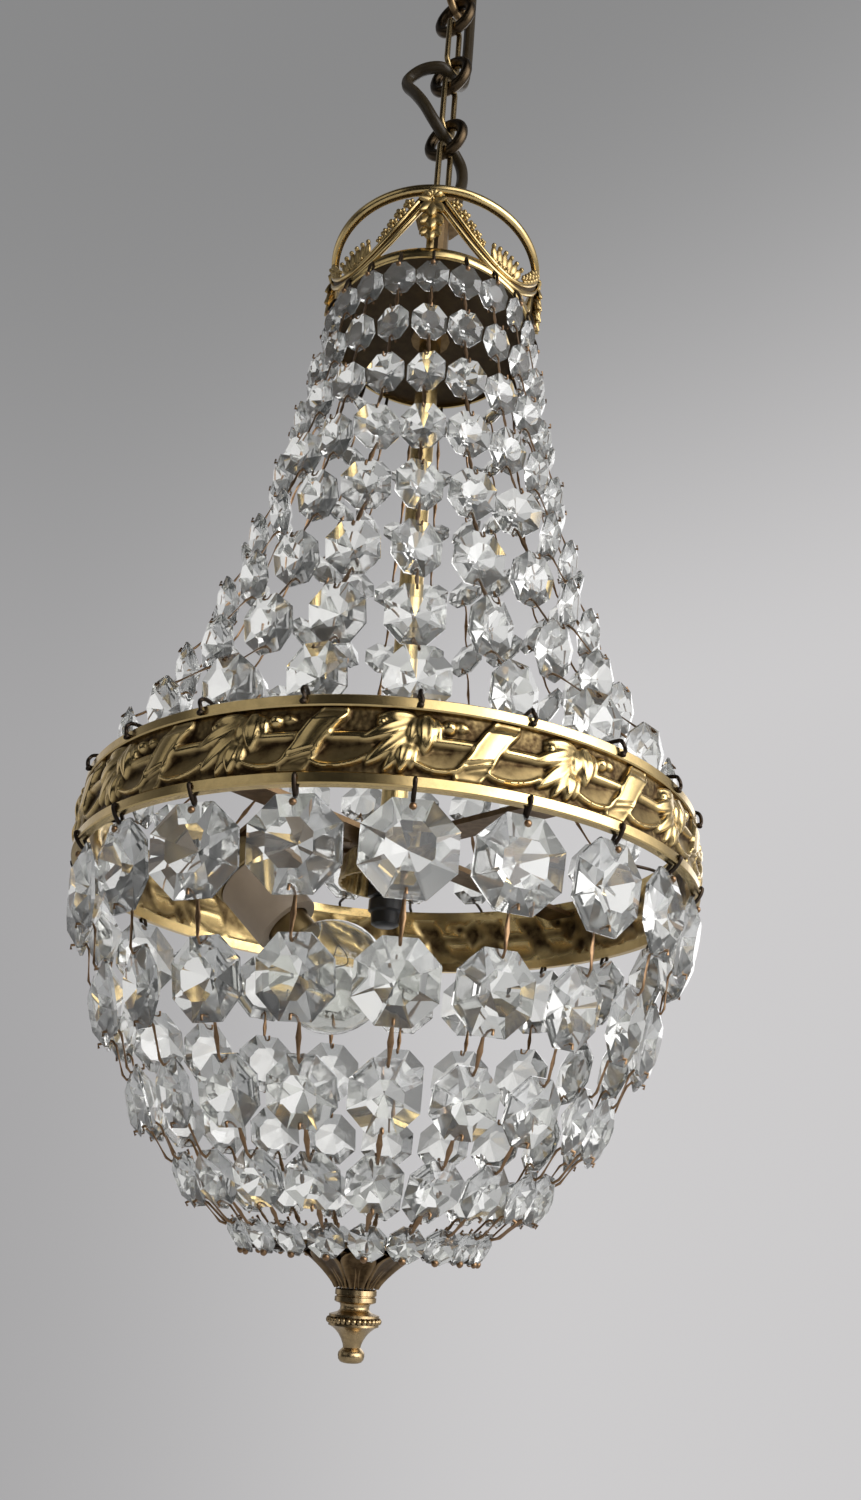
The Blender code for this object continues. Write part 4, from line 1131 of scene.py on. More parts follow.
class CHANDELIER_OT_crown(bpy.types.Operator):
    """Builds the pierced crown: rim, band, plate, swags, florets and leaf pendants"""

    bl_idname = "chandelier.crown"
    bl_label = "Crown"

    def execute(self, context):
        rim_half = 0.00225
        rim_deep = 0.0034
        rim = [(CROWN_RIM - rim_deep, CROWN_TOP - 0.0004), (CROWN_RIM - 0.0022, CROWN_TOP)]
        for step in range(9):
            angle = math.pi / 2 - math.pi * step / 8
            radius = CROWN_RIM - 0.0016 + 0.0019 * math.cos(angle)
            rim.append((radius, CROWN_TOP - rim_half + rim_half * math.sin(angle)))
        rim.append((CROWN_RIM - 0.0022, CROWN_TOP - 2 * rim_half))
        rim.append((CROWN_RIM - rim_deep, CROWN_TOP - 2 * rim_half + 0.0004))
        band = CROWN_RIM - 0.0029
        band_inner = band - 0.0012
        plate = CROWN_FOOT + 0.002
        lower = [
            (band_inner, CROWN_BAND_TOP),
            (band - 0.0003, CROWN_BAND_TOP),
            (band, CROWN_FOOT + 0.0046),
            (band, CROWN_FOOT + 0.0004),
            (band - 0.0003, CROWN_FOOT),
            (band_inner, CROWN_FOOT),
        ]
        shape = joined([lathe(rim, 120, closed=True), lathe(lower, 120, closed=True)])
        piece = make("crown_rings", shape, gilt(), smooth=50.0, stands_for=["crown_gallery"])
        plate_top = plate + 0.0012
        disc = [(band_inner, plate_top), (band_inner, plate), (STEM_HOLE, plate), (STEM_HOLE, plate_top)]
        make("crown_plate", lathe(disc, 64, closed=True), plate_in_painted_shade(), smooth=30.0)
        garland = ((0.085, 0.0028), (0.135, 0.0030), (0.185, 0.0027), (0.232, 0.0024), (0.275, 0.0020))
        straps = []
        groove_shade = []
        dressing = []
        for quarter in range(4):
            start = sizes().crown_turn + quarter * math.pi / 2
            straps.append(strap(start, offset=0.0018, half_wide=0.0011, half_deep=0.0012, out=0.0006))
            straps.append(strap(start, offset=-0.0018, half_wide=0.0012, half_deep=0.0012, out=0.0006))
            # Painted shade: a near black strip behind the two ridges stands for the shadow in the groove
            # between them.
            groove_shade.append(strap(start, offset=0.0, half_wide=0.0018, half_deep=0.0005, out=0.0))
            dressing += self.node(start)
            for t, radius in garland:
                for share in (t, 1.0 - t):
                    dressing.append(floret(*on_swag(start, share, 0.0026 + radius * 0.7), radius))
            dressing += self.posy(start + math.pi / 4)
        make("crown_swags", joined(straps), gilt(), smooth=60.0)
        make("crown_groove_shade", joined(groove_shade), plate_in_painted_shade(), smooth=60.0)
        make("crown_flowers", joined(dressing), aged_gilt(), smooth=60.0)
        return {"FINISHED"}

    def node(self, bearing):
        """The petals under the rim and the leaf pendant below them."""
        out = outward_of(bearing)
        side = sideways_of(bearing)
        pieces = []
        for aim in (-0.95, -0.32, 0.32, 0.95):
            away = UP * math.cos(aim) + side * math.sin(aim)
            cross = side * math.cos(aim) - UP * math.sin(aim)
            centre = on_crown(bearing, CROWN_TOP - 0.0088, 0.0018) + away * 0.0030
            pieces.append(ellipsoid(centre, (away * 0.0022, cross * 0.0012, out * 0.0013), 5, 8))
        for aim in (-1.75, 1.75):
            pieces.append(crown_leaf(bearing, CROWN_TOP - 0.0086, aim, 0.0062, 0.0040))
        pieces.append(floret(bearing, CROWN_TOP - 0.0096, 0.0022))
        level = CROWN_TOP - 0.0100
        for length, width in ((0.0116, 0.0056), (0.0114, 0.0068), (0.0098, 0.0062)):
            for aim in (math.pi - 0.52, math.pi + 0.52, math.pi):
                share = 1.0 if aim == math.pi else 0.86
                blade = (length * share, width * share)
                pieces.append(crown_leaf(bearing, level, aim, *blade, lift=0.0014, curl=0.0014))
            level -= 0.0072
        bar = [on_crown(bearing, level, -0.0002) for level in (CROWN_RIM_FOOT, CROWN_FOOT + 0.003)]
        pieces.append(sweep(bar, [(0.0016, 0.0009)] * 2, 6, wide=side))
        return pieces

    def posy(self, bearing):
        """The fan of upright buds in the bottom of a swag."""
        out = outward_of(bearing)
        side = sideways_of(bearing)
        pieces = []
        for number in range(6):
            place = (number - 2.5) / 2.5
            turn = bearing + place * 0.0062 / crown_wall(CROWN_FOOT)
            height = 0.0088 - 0.0022 * place * place
            foot = CROWN_FOOT + 0.0074 + 0.0010 * place * place
            pieces.append(crown_leaf(turn, foot, place * 0.35, height, 0.0036, lift=0.0012, curl=0.0008))
            tip = on_crown(turn, foot + height * 0.92, 0.0020) + side * place * 0.0024
            pieces.append(ellipsoid(tip, (side * 0.0011, UP * 0.0013, out * 0.0011), 5, 8))
        for place in (-1.0, 0.0, 1.0):
            turn = bearing + place * 0.0044 / crown_wall(CROWN_FOOT)
            pieces.append(floret(turn, CROWN_FOOT + 0.0082, 0.0023))
        return pieces


# Chain and flex


def chain_directions():
    """The level directions across the round rings and across the slim links."""
    along = Vector((math.cos(CHAIN_TURN), math.sin(CHAIN_TURN), 0.0))
    through = Vector((-math.sin(CHAIN_TURN), math.cos(CHAIN_TURN), 0.0))
    return along, through


class CHANDELIER_OT_chain(bpy.types.Operator):
    """Builds the ceiling plate with its hook, the round rings and the slim links"""

    bl_idname = "chandelier.chain"
    bl_label = "Chain"

    def execute(self, context):
        along, through = chain_directions()
        for number in range(1, 4):
            self.ring(number, along, through)
            self.link(number, along, through)
        self.plate(through)
        return {"FINISHED"}

    def ring(self, number, along, through):
        """A thick round ring."""
        node = f"chain_ring_{number}"
        low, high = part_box(node)
        centre = (low.z + high.z) / 2
        steps = 40
        route = []
        for step in range(steps):
            angle = 2 * math.pi * step / steps
            level = centre + CHAIN_RING_RADIUS * math.sin(angle)
            route.append(along * CHAIN_RING_RADIUS * math.cos(angle) + UP * level)
        shape = sweep(route, [(CHAIN_RING_WIRE, CHAIN_RING_WIRE)] * steps, 14, closed=True, wide=through)
        ring = make(f"ring_{number}_look", shape, chain_metal(), body=node, smooth=80.0, stands_for=[node])

    def link(self, number, along, through):
        """A slim link with straight sides and round ends."""
        node = f"chain_link_{number}"
        low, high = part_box(node)
        centre = (low.z + high.z) / 2
        straight = (high.z - low.z) / 2 - LINK_WIRE - LINK_BEND
        route = []
        for side in (1, -1):
            for step in range(13):
                angle = math.pi * step / 12
                across = LINK_BEND * math.cos(angle) * side
                level = centre + side * (straight + LINK_BEND * math.sin(angle))
                route.append(through * across + UP * level)
        shape = sweep(route, [(LINK_WIRE, LINK_WIRE)] * len(route), 10, closed=True, wide=along)
        link = make(f"link_{number}_look", shape, link_metal(), body=node, smooth=80.0, stands_for=[node])

    def plate(self, through):
        """The ceiling plate and the open hook below it."""
        low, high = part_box("hook_plate")
        radius = high.x
        profile = [(0.0, 0.0), (radius - 0.0004, 0.0), (radius, -0.0004), (radius, -0.0020)]
        profile += [(radius - 0.0012, -0.0028), (radius * 0.86, -0.0036), (radius * 0.4, -0.0040)]
        profile.append((0.0, -0.0040))
        level = low.z + HOOK_ROD + HOOK_BEND
        points = [(0.0, -0.002), (0.0, level + HOOK_BEND), (HOOK_BEND * 0.6, level + HOOK_BEND * 0.7)]
        for angle in (10.0, -35.0, -90.0, -145.0, -190.0, -215.0):
            turn = math.radians(angle)
            points.append((HOOK_BEND * math.cos(turn), level + HOOK_BEND * math.sin(turn)))
        route = smooth_line([through * reach + UP * height for reach, height in points], 6)
        wire = sweep(route, [(HOOK_ROD, HOOK_ROD)] * len(route), 12, wide=through.cross(UP))
        shape = joined([lathe(profile, 64), wire])
        plate = make("hook_plate_look", shape, aged(), body="ceiling", stands_for=["hook_plate"])


class CHANDELIER_OT_flex(bpy.types.Operator):
    """Laces the flex through the chain, in lengths that each run across one joint"""

    bl_idname = "chandelier.flex"
    bl_label = "Flex"

    def execute(self, context):
        along, through = chain_directions()
        first = sum(corner.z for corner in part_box("chain_ring_1")) / 2
        second = sum(corner.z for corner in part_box("chain_ring_2")) / 2
        third = sum(corner.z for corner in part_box("chain_ring_3")) / 2
        low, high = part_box("flex_cord")
        lace = (
            (0.000, 0.0145, high.z),
            (0.000, 0.0145, first + 0.015),
            (0.000, 0.0145, first - 0.007),
            (0.000, 0.0140, second + 0.024),
            (0.000, 0.0115, second + 0.009),
            (0.000, 0.0055, second + 0.0010),
            (0.000, 0.0000, second),
            (-0.001, -0.0060, second - 0.0002),
            (-0.006, -0.0095, second - 0.0004),
            (-0.0130, -0.0110, second - 0.0004),
            (-0.0185, -0.0125, second - 0.0050),
            (-0.0175, -0.0140, second - 0.0130),
            (-0.0115, -0.0150, second - 0.0240),
            (-0.005, -0.0150, third + 0.0130),
            (-0.001, -0.0115, third + 0.0030),
            (0.000, -0.0050, third + 0.0003),
            (0.000, 0.0000, third),
            (0.000, 0.0060, third - 0.0006),
            (0.002, 0.0120, third - 0.0070),
            (0.004, 0.0115, third - 0.020),
            (0.005, 0.0075, third - 0.036),
            (0.005, 0.0062, low.z + 0.0097),
            (0.005, 0.0060, low.z),
        )
        each = 8
        in_second_ring = 6
        in_third_ring = 16
        spine = smooth_line([along * a + through * b + UP * z for a, b, z in lace], each)
        cuts = [0, self.passes(spine, first), self.passes(spine, (first + second) / 2)]
        cuts += [in_second_ring * each, self.passes(spine, (second + third) / 2), in_third_ring * each]
        cuts += [self.passes(spine, third - 0.025), len(spine) - 1]
        bodies = ["ceiling", "chain_ring_1", "chain_link_1", "chain_ring_2", "chain_link_2", "chain_ring_3"]
        bodies += ["chain_link_3", BODY]
        look = plastic("Flex", colours().flex, roughness=0.36, scale=120.0, gloss=0.2)
        rings = self.tube(spine)
        lengths = len(bodies) - 1
        for number in range(lengths):
            part = rings[cuts[number] : cuts[number + 1] + 1]
            shape = self.skin(part, number == 0, number == lengths - 1)
            piece = make(f"flex_{number + 1}", shape, look, body=None, smooth=80.0)
            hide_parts("flex_cord")
            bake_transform(piece)
        return {"FINISHED"}

    def passes(self, spine, level):
        """The first point of the line that is below a level."""
        return next(index for index, point in enumerate(spine) if point.z < level)

    def tube(self, spine):
        """Rings of points round the whole line, so that lengths meet exactly."""
        sides = 14
        half = sizes().flex / 2
        points, _ = sweep(spine, [(half, half)] * len(spine), sides)
        return [points[start : start + sides] for start in range(0, len(points), sides)]

    def skin(self, rings, cap_start, cap_end):
        """The tube over a run of rings, capped where the flex ends."""
        points = [point for ring in rings for point in ring]
        sides = len(rings[0])
        faces = []
        for index in range(len(rings) - 1):
            start = index * sides
            for side in range(sides):
                after = (side + 1) % sides
                faces.append([start + side, start + after, start + sides + after, start + sides + side])
        if cap_start:
            faces.append(list(range(sides))[::-1])
        if cap_end:
            faces.append(list(range(len(points) - sides, len(points))))
        return points, faces


# Stem, spider and lamp


class CHANDELIER_OT_stem(bpy.types.Operator):
    """Gives the stem, spider and hub their finish, and adds the black cord grip"""

    bl_idname = "chandelier.stem"
    bl_label = "Stem and Spider"

    def execute(self, context):
        for node, look in (("stem", aged()), ("spider", arm_brass())):
            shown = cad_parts[node]
            shown.data.materials.clear()
            shown.data.materials.append(look)
        self.tube()
        self.cup()
        self.grip()
        return {"FINISHED"}

    def grip(self):
        """The black cord grip: a hexagon nut and a round sleeve below it."""
        nut = [
            (0.0050, TUBE_FOOT + 0.004),
            (0.0070, TUBE_FOOT + 0.004),
            (0.0070, TUBE_FOOT - 0.004),
            (0.0, TUBE_FOOT - 0.004),
        ]
        sleeve = [
            (0.0, TUBE_FOOT - 0.0041),
            (0.0054, TUBE_FOOT - 0.0046),
            (0.0064, TUBE_FOOT - 0.0054),
            (0.0064, TUBE_FOOT - 0.0092),
            (0.0054, TUBE_FOOT - 0.0100),
            (0.0050, TUBE_FOOT - 0.0140),
            (0.0036, TUBE_FOOT - 0.0148),
            (0.0, TUBE_FOOT - 0.0148),
        ]
        black = plastic("Black plastic", colours().grip, roughness=0.35, scale=200.0)
        make("cord_grip", joined([lathe(nut, 6), lathe(sleeve, 24)]), black, smooth=30.0)

    def tube(self):
        """The long tube, round and bright."""
        profile = [(TUBE_RADIUS, CROWN_FOOT - 0.0012), (TUBE_RADIUS, HUB_TOP + 0.0024)]
        make("stem_tube", lathe(profile, 40), gilt(), smooth=60.0)

    def cup(self):
        """The spun cup with shallow flutes."""
        profile = [
            (STEM_HOLE, HUB_TOP),
            (0.0112, HUB_TOP - 0.0004),
            (0.0148, HUB_TOP - 0.0022),
            (0.0168, HUB_TOP - 0.0052),
            (0.0174, HUB_FOOT + 0.0024),
            (HUB_RADIUS, HUB_FOOT + 0.0012),
            (HUB_RADIUS, HUB_FOOT),
            (HUB_RADIUS - 0.001, HUB_FOOT),
            (0.0164, HUB_FOOT + 0.0024),
            (0.0158, HUB_TOP - 0.0056),
            (0.0140, HUB_TOP - 0.0031),
            (0.0108, HUB_TOP - 0.0014),
            (STEM_HOLE, HUB_TOP - 0.0010),
        ]
        points, faces = lathe(profile, 96, closed=True)
        waved = []
        for x, y, z in points:
            radius = math.hypot(x, y)
            wave = 0.0004 * math.cos(24 * math.atan2(y, x)) if 0.012 < radius < 0.0176 else 0.0
            waved.append((x * (1 + wave / radius), y * (1 + wave / radius), z))
        piece = make("hub_cup_look", (waved, faces), aged_gilt(), smooth=60.0, stands_for=["hub_cup"])


def lamp_frame():
    """The lamp's axis: a point at the bracket's tab, and the direction down along it."""
    out = outward_of(LAMP_BEARING)
    axis = -out * math.sin(LAMP_TILT) - UP * math.cos(LAMP_TILT)
    return out * LAMP_REACH + UP * (BAND_TOP - ARM_BELOW_BAND - LAMP_BELOW_ARM), axis


def on_lamp(shape, along):
    """A shape turned about +Z, put on the lamp's axis with its -Z along it."""
    start, axis = lamp_frame()
    turn = (-axis).to_track_quat("Z", "Y").to_matrix()
    points, faces = shape
    return [start + axis * along + turn @ Vector(point) for point in points], faces


class CHANDELIER_OT_lamp(bpy.types.Operator):
    """Builds the brass lampholder and the clear bulb with its cap and filament"""

    bl_idname = "chandelier.lamp"
    bl_label = "Lamp"

    def execute(self, context):
        self.holder()
        self.bulb()
        self.inside()
        return {"FINISHED"}

    def holder(self):
        """The brass cap and the tan sleeve below it."""
        cap = [(0.0, 0.0), (0.0080, 0.0), (0.0112, -0.0016), (0.0125, -0.0046), (0.0127, -0.0060)]
        cap += [(0.0127, -0.0125), (0.0122, -0.0130), (0.0, -0.0130)]
        shape = on_lamp(lathe(cap, 48), HOLDER_GAP)
        piece = make("lampholder_cap", shape, tarnish(), smooth=35.0, stands_for=["lampholder"])
        sleeve = [(0.0, -0.0132), (0.0116, -0.0132), (0.0122, -0.0139), (0.0122, -0.0374), (0.0118, -0.0380)]
        sleeve += [(0.0085, -0.0380), (0.0085, -0.0260), (0.0, -0.0260)]
        tan = plastic("Tan sleeve", colours().sleeve, roughness=0.5, scale=90.0)
        make("lampholder_sleeve", on_lamp(lathe(sleeve, 48), HOLDER_GAP), tan, smooth=35.0)

    def bulb(self):
        """The bulb's thin glass, a globe on a straight neck."""
        outer = [(BULB_NECK, -0.0120)]
        globe = -BULB_LENGTH + BULB_RADIUS
        first = math.asin(BULB_NECK / BULB_RADIUS)
        for step in range(25):
            angle = first + (math.pi - first) * step / 24
            outer.append((BULB_RADIUS * math.sin(angle), globe + BULB_RADIUS * math.cos(angle)))
        outer[-1] = (0.0, -BULB_LENGTH)
        inner = [(max(0.0, radius - BULB_WALL), level + BULB_WALL * 0.5) for radius, level in outer[:-1]]
        inner.append((0.0, -BULB_LENGTH + BULB_WALL))
        shape = on_lamp(lathe(outer + inner[::-1], 48, closed=True), BULB_SEAT)
        bulb = make("bulb_look", shape, bulb_glass(), smooth=80.0, stands_for=["bulb"])

    def inside(self):
        """The bulb's cap, its glass post and the filament on two wires."""
        cap = [(0.0, -0.0005), (0.0072, -0.0005), (0.0079, -0.0020), (0.0079, -0.0205), (0.0077, -0.0212)]
        cap.append((0.0, -0.0212))
        make("bulb_cap", on_lamp(lathe(cap, 32), BULB_SEAT), tarnish(), smooth=35.0)
        post = [(0.0, -0.0120), (0.0022, -0.0121), (0.0016, -0.0240), (0.0, -0.0246)]
        make("bulb_post", on_lamp(lathe(post, 16), BULB_SEAT), bulb_glass(), smooth=60.0)
        reach = 0.009
        coil = []
        for step in range(41):
            turn = step / 40 * 2 * math.pi
            level = -0.034 - 0.002 * math.sin(turn * 3)
            coil.append(Vector((reach * math.cos(turn * 0.86), reach * math.sin(turn * 0.86), level)))
        wires = [coil, [Vector((0.0014, 0.0, -0.023)), coil[0]], [Vector((-0.0014, 0.0, -0.023)), coil[-1]]]
        pieces = [sweep(route, [(0.00022, 0.00022)] * len(route), 5) for route in wires]
        make("filament", on_lamp(joined(pieces), BULB_SEAT), iron(), smooth=60.0)


# Foot


class CHANDELIER_OT_foot(bpy.types.Operator):
    """Builds the base plate, the cup of leaves and the turned finial with its beaded disc"""

    bl_idname = "chandelier.foot"
    bl_label = "Foot"

    def execute(self, context):
        edge = 0.0003
        disc = [(0.0, BASE_TOP), (BASE_RADIUS - edge, BASE_TOP), (BASE_RADIUS, BASE_TOP - edge)]
        disc += [(BASE_RADIUS, BASE_TOP - 0.0012), (BASE_RADIUS - edge, BASE_TOP - BASE_THICK)]
        disc.append((0.0, BASE_TOP - BASE_THICK))
        base = make("base_plate_look", lathe(disc, 84), aged(), smooth=30.0, stands_for=["base_plate"])
        self.cup()
        self.finial()
        return {"FINISHED"}

    def cup(self):
        """The cup: a plain core and two rows of leaves over it."""
        count = sizes().cup_leaves
        core = []
        for step in range(9):
            t = step / 8
            radius = 0.0052 + (CUP_RADIUS * 0.78 - 0.0052) * (1.0 - t) ** 1.1
            core.append((radius, CUP_TOP + (CUP_FOOT - CUP_TOP) * t))
        points, faces = lathe([(0.0, CUP_TOP)] + core + [(0.0, CUP_FOOT)], 48)
        pieces = [(points, faces)]
        # Painted shade: the core under the leaves is marked darkest.
        bright = [0.0] * len(points)
        for shift, reach, off in ((0.5, 0.90, 0.0), (0.0, 1.0, 0.0006)):
            for number in range(count):
                bearing = 2 * math.pi * (number + shift) / count
                leaf_points, leaf_faces, marks = self.cup_leaf(bearing, 2 * math.pi / count, reach, off)
                pieces.append((leaf_points, leaf_faces))
                bright += marks
        cup = make("leaf_cup_look", joined(pieces), aged_leaf(), smooth=60.0, stands_for=["leaf_cup"])
        marked = cup.data.attributes.new("relief", "FLOAT", "POINT")
        marked.data.foreach_set("value", np.array(bright, np.float32))

    def cup_leaf(self, bearing, spread, reach, off):
        """A broad leaf with raised edges that rises from the cup's foot and turns out at its tip."""
        points = []
        marks = []
        columns = (-1.0, -0.84, -0.6, -0.25, 0.25, 0.6, 0.84, 1.0)
        rows = 10
        for row in range(rows + 1):
            t = row / rows
            radius = 0.0058 + (CUP_RADIUS - 0.0058) * t**1.15 * reach + off
            level = CUP_FOOT + (CUP_TOP - CUP_FOOT) * (0.02 + 0.96 * t**0.92)
            half = spread * (0.42 + 0.08 * math.sin(math.pi * t))
            if t > 0.6:
                half *= math.sqrt(max(0.03, 1.0 - ((t - 0.6) / 0.402) ** 2))
            for column in columns:
                ridge = math.exp(-(((abs(column) - 0.9) / 0.16) ** 2))
                ridge += 0.5 * math.exp(-((column / 0.2) ** 2))
                out = outward_of(bearing + half * column)
                points.append(out * (radius + 0.0009 * ridge) + UP * (level - 0.0005 * ridge))
                # Painted highlight on the raised edges and midrib, lighter towards the tip, and painted shade
                # on the flat of the leaf.
                marks.append(min(1.0, 0.12 + 0.5 * ridge + 0.10 * t))
        # Painted shade on the leaf's back.
        marks += [0.0] * len(points)
        points += [point - outward_of(bearing) * 0.0006 + UP * 0.0003 for point in points]
        return points, plate_faces(rows, len(columns)), marks

    def finial(self):
        """The turned knob, from radii at shares of its length, and the beads round its disc."""
        length = FINIAL_TOP - FINIAL_FOOT
        profile = (
            (0.0062, 0.000), (0.0065, 0.015), (0.0065, 0.085), (0.0060, 0.095), (0.0060, 0.105),
            (0.0065, 0.115), (0.0065, 0.175), (0.0060, 0.190), (0.0048, 0.205), (0.0045, 0.240),
            (0.0046, 0.285), (0.0052, 0.315), (0.0064, 0.335), (0.0078, 0.352), (0.0078, 0.385),
            (0.0068, 0.400), (0.0068, 0.462), (0.0078, 0.475), (0.0078, 0.505), (0.0066, 0.530),
            (0.0056, 0.565), (0.0045, 0.615), (0.0035, 0.685), (0.0029, 0.750), (0.0027, 0.795),
            (0.0034, 0.825), (0.0040, 0.860), (0.0041, 0.900), (0.0039, 0.950), (0.0033, 0.985),
            (0.0024, 1.0),
        )
        turned = [(0.0, FINIAL_TOP)]
        turned += [(radius, FINIAL_TOP - share * length) for radius, share in profile]
        turned.append((0.0, FINIAL_FOOT))
        knob = make("finial_look", lathe(turned, 64), finial_brass(), smooth=40.0, stands_for=["finial"])
        pieces = []
        disc_share = 0.431
        disc_radius = 0.0078
        half = 0.00086
        level = FINIAL_TOP - disc_share * length
        for number in range(sizes().finial_beads):
            bearing = 2 * math.pi * number / sizes().finial_beads
            out = outward_of(bearing)
            centre = out * disc_radius + UP * level
            pieces.append(ellipsoid(centre, (out * half, sideways_of(bearing) * half, UP * half * 1.1), 6, 8))
        make("finial_beading", joined(pieces), finial_brass(), smooth=80.0)


# Stage


def camera_matrix():
    """The photograph's camera, fitted to the ring, crown and tip."""
    flat = math.cos(CAMERA_PITCH)
    ahead = Vector((math.sin(CAMERA_YAW) * flat, math.cos(CAMERA_YAW) * flat, math.sin(CAMERA_PITCH)))
    right = ahead.cross(UP).normalized()
    above = right.cross(ahead)
    level_right = right * math.cos(CAMERA_ROLL) + above * math.sin(CAMERA_ROLL)
    level_up = above * math.cos(CAMERA_ROLL) - right * math.sin(CAMERA_ROLL)
    turn = Matrix((level_right, level_up, -ahead)).transposed().to_4x4()
    return Matrix.Translation(CAMERA_PLACE) @ turn


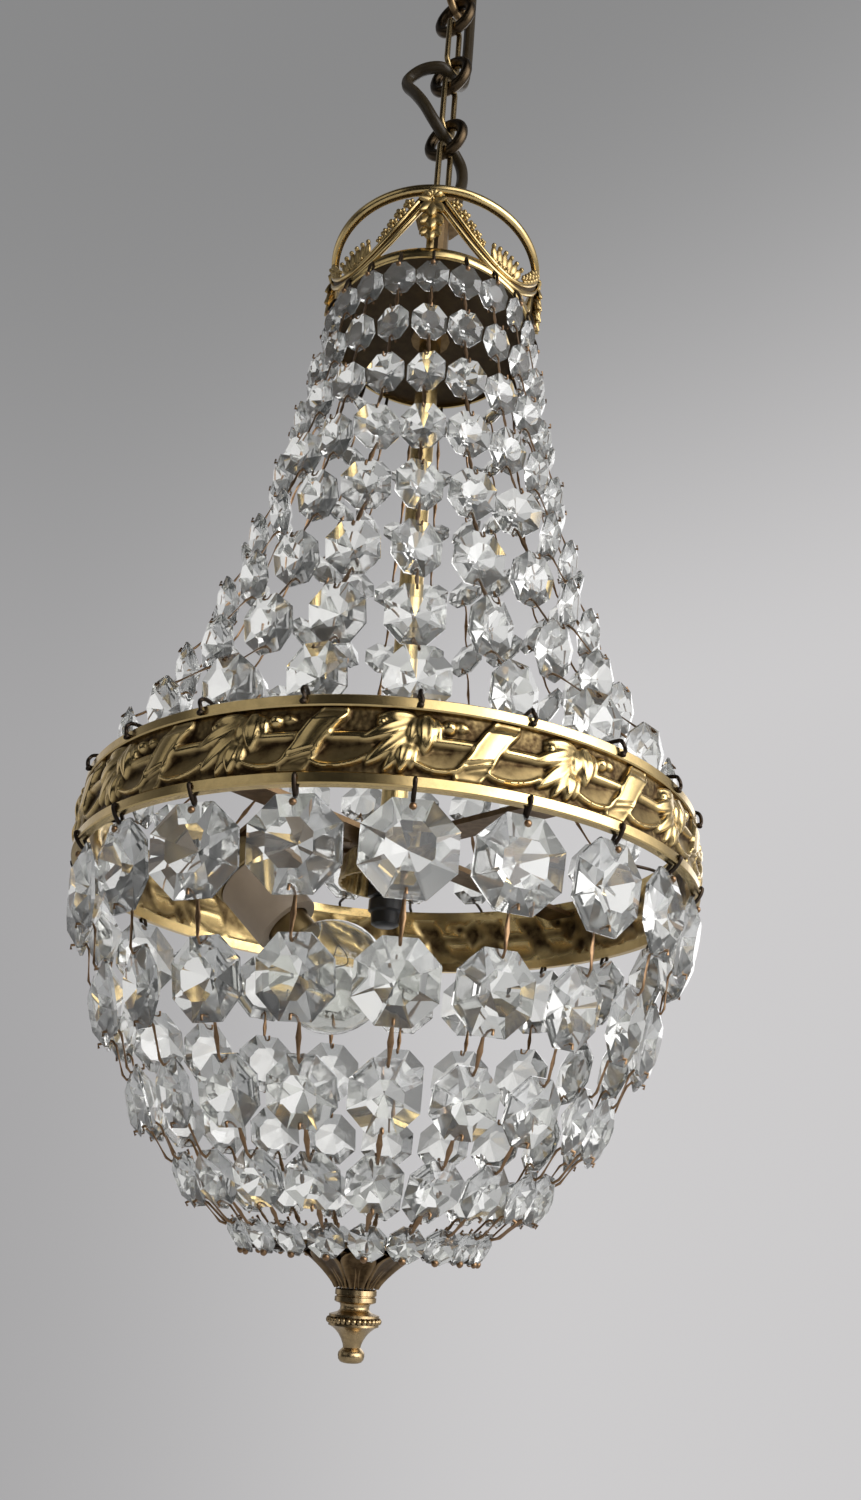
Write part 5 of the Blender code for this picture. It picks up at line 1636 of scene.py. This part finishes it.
class CHANDELIER_OT_stage(bpy.types.Operator):
    """Sets the camera, the soft lights, the wall colour and the floor"""

    bl_idname = "chandelier.stage"
    bl_label = "Stage"

    def execute(self, context):
        scene = context.scene
        scene.view_settings.view_transform = "Standard"
        lens = bpy.data.cameras.new("camera")
        lens.sensor_width = SENSOR
        lens.lens = SENSOR * FOCAL_PIXELS / PHOTO_HEIGHT
        lens.clip_start = 0.01
        camera = bpy.data.objects.new("camera", lens)
        scene.collection.objects.link(camera)
        camera.matrix_world = camera_matrix()
        scene.camera = camera
        self.lamps(scene)
        self.world(scene)
        points, faces = lathe([(0.0, FLOOR_LEVEL), (FLOOR_RADIUS, FLOOR_LEVEL)], 64)
        pale = plastic("Floor", colours().floor, roughness=0.8, scale=6.0, vary=0.03)
        shape = (points, [face[::-1] for face in faces])
        ground = make("floor", shape, pale, body=None, smooth=None)
        return {"FINISHED"}

    def lamps(self, scene):
        """Three soft area lights aimed at the ring."""
        aim = Vector((0.0, 0.0, BAND_TOP))
        for name, place, wide, watts in (
            ("key", (1.6, -1.1, 0.0), 1.8, 31.0),
            ("fill", (-1.6, -1.1, 0.3), 1.4, 2.5),
            ("back", (0.9, 1.7, 0.3), 1.4, 6.0),
        ):
            data = bpy.data.lights.new(name, "AREA")
            data.size = wide
            data.energy = watts
            lamp = bpy.data.objects.new(name, data)
            scene.collection.objects.link(lamp)
            lamp.visible_transmission = False
            lamp.location = place
            lamp.rotation_mode = "QUATERNION"
            lamp.rotation_quaternion = (aim - Vector(place)).to_track_quat("-Z", "Y")

    def world(self, scene):
        """A grey wall with painted light and shade, brighter low on the right, shaded on the left and dark at
        the top, and a plain soft light from all round.

        Mirrored and refracted views see a room of light and dark patches, dark on the left and
        bright on the right.
        """
        world = bpy.data.worlds.new("studio")
        scene.world = world
        world.use_nodes = True
        tree = world.node_tree
        nodes = tree.nodes
        links = tree.links
        nodes.clear()
        place = nodes.new("ShaderNodeTexCoord")
        axis = nodes.new("ShaderNodeSeparateXYZ")
        links.new(place.outputs["Generated"], axis.inputs[0])
        path = nodes.new("ShaderNodeLightPath")
        slope = nodes.new("ShaderNodeVectorMath")
        slope.operation = "DOT_PRODUCT"
        slope.inputs[1].default_value = (-0.2, 0.0, 1.0)
        links.new(place.outputs["Generated"], slope.inputs[0])
        low = self.mix(tree, "RGBA", self.ramp(tree, axis.outputs["X"], (-0.36, 0.20), (0.0, 1.0)))
        low.inputs["A"].default_value = (*colours().wall_shade, 1.0)
        low.inputs["B"].default_value = (*colours().wall, 1.0)
        shade = self.mix(tree, "RGBA", self.ramp(tree, slope.outputs["Value"], (0.38, 0.88), (0.0, 1.0)))
        links.new(low.outputs["Result"], shade.inputs["A"])
        shade.inputs["B"].default_value = (*colours().wall_top_shade, 1.0)
        patches = nodes.new("ShaderNodeTexNoise")
        patches.inputs["Scale"].default_value = 1.7
        patches.inputs["Detail"].default_value = 1.0
        links.new(place.outputs["Generated"], patches.inputs["Vector"])
        front = nodes.new("ShaderNodeMath")
        front.operation = "MULTIPLY"
        links.new(self.ramp(tree, axis.outputs["X"], (-0.34, 0.25), (0.03, 1.85)), front.inputs[0])
        links.new(self.ramp(tree, patches.outputs["Fac"], (0.42, 0.60), (0.03, 2.0)), front.inputs[1])
        room = self.mix(tree, "FLOAT", self.ramp(tree, axis.outputs["Y"], (-0.25, 0.35), (0.0, 1.0)))
        links.new(front.outputs[0], room.inputs["A"])
        links.new(self.ramp(tree, patches.outputs["Fac"], (0.38, 0.60), (0.5, 1.55)), room.inputs["B"])
        seen = self.mix(tree, "FLOAT", path.outputs["Is Camera Ray"])
        links.new(room.outputs["Result"], seen.inputs["A"])
        seen.inputs["B"].default_value = 1.0
        wall = nodes.new("ShaderNodeBackground")
        links.new(shade.outputs["Result"], wall.inputs["Color"])
        links.new(seen.outputs["Result"], wall.inputs["Strength"])
        soft = nodes.new("ShaderNodeBackground")
        soft.inputs["Color"].default_value = (0.78, 0.80, 0.84, 1.0)
        soft.inputs["Strength"].default_value = 0.55
        rays = path.outputs["Is Camera Ray"]
        for label in ("Is Glossy Ray", "Is Transmission Ray"):
            either = nodes.new("ShaderNodeMath")
            either.operation = "MAXIMUM"
            links.new(rays, either.inputs[0])
            links.new(path.outputs[label], either.inputs[1])
            rays = either.outputs[0]
        both = nodes.new("ShaderNodeMixShader")
        links.new(rays, both.inputs["Fac"])
        links.new(soft.outputs["Background"], both.inputs[1])
        links.new(wall.outputs["Background"], both.inputs[2])
        end = nodes.new("ShaderNodeOutputWorld")
        links.new(both.outputs["Shader"], end.inputs["Surface"])

    def ramp(self, tree, value, span, result):
        """A smooth step of a value over a span, to a range of results."""
        step = stretch(tree, span, result)
        step.interpolation_type = "SMOOTHSTEP"
        tree.links.new(value, step.inputs["Value"])
        return step.outputs["Result"]

    def mix(self, tree, kind, factor):
        """A mix node with its factor linked."""
        mixed = tree.nodes.new("ShaderNodeMix")
        mixed.data_type = kind
        tree.links.new(factor, mixed.inputs["Factor"])
        return mixed


class CHANDELIER_PT_panel(bpy.types.Panel):
    """Lists the chandelier's pieces"""

    bl_idname = "CHANDELIER_PT_panel"
    bl_label = "Basket Chandelier"
    bl_space_type = "VIEW_3D"
    bl_region_type = "UI"
    bl_category = "Chandelier"

    def draw(self, context):
        for operator in OPERATORS:
            self.layout.operator(operator.bl_idname)
        for group in (context.scene.chandelier_sizes, context.scene.chandelier_colours):
            for name in group.__annotations__:
                self.layout.prop(group, name)


OPERATORS = (
    CHANDELIER_OT_chain,
    CHANDELIER_OT_flex,
    CHANDELIER_OT_stem,
    CHANDELIER_OT_crown,
    CHANDELIER_OT_tent,
    CHANDELIER_OT_ring,
    CHANDELIER_OT_lamp,
    CHANDELIER_OT_basket,
    CHANDELIER_OT_foot,
    CHANDELIER_OT_stage,
)
CLASSES = (ChandelierSizes, ChandelierColours, *OPERATORS, CHANDELIER_PT_panel)


def register():
    for each in CLASSES:
        bpy.utils.register_class(each)
    bpy.types.Scene.chandelier_sizes = bpy.props.PointerProperty(type=ChandelierSizes)
    bpy.types.Scene.chandelier_colours = bpy.props.PointerProperty(type=ChandelierColours)


def unregister():
    del bpy.types.Scene.chandelier_colours
    del bpy.types.Scene.chandelier_sizes
    for each in reversed(CLASSES):
        bpy.utils.unregister_class(each)


def main():
    register()
    for operator in OPERATORS:
        group, name = operator.bl_idname.split(".")
        getattr(getattr(bpy.ops, group), name)()


if __name__ == "__main__":
    main()
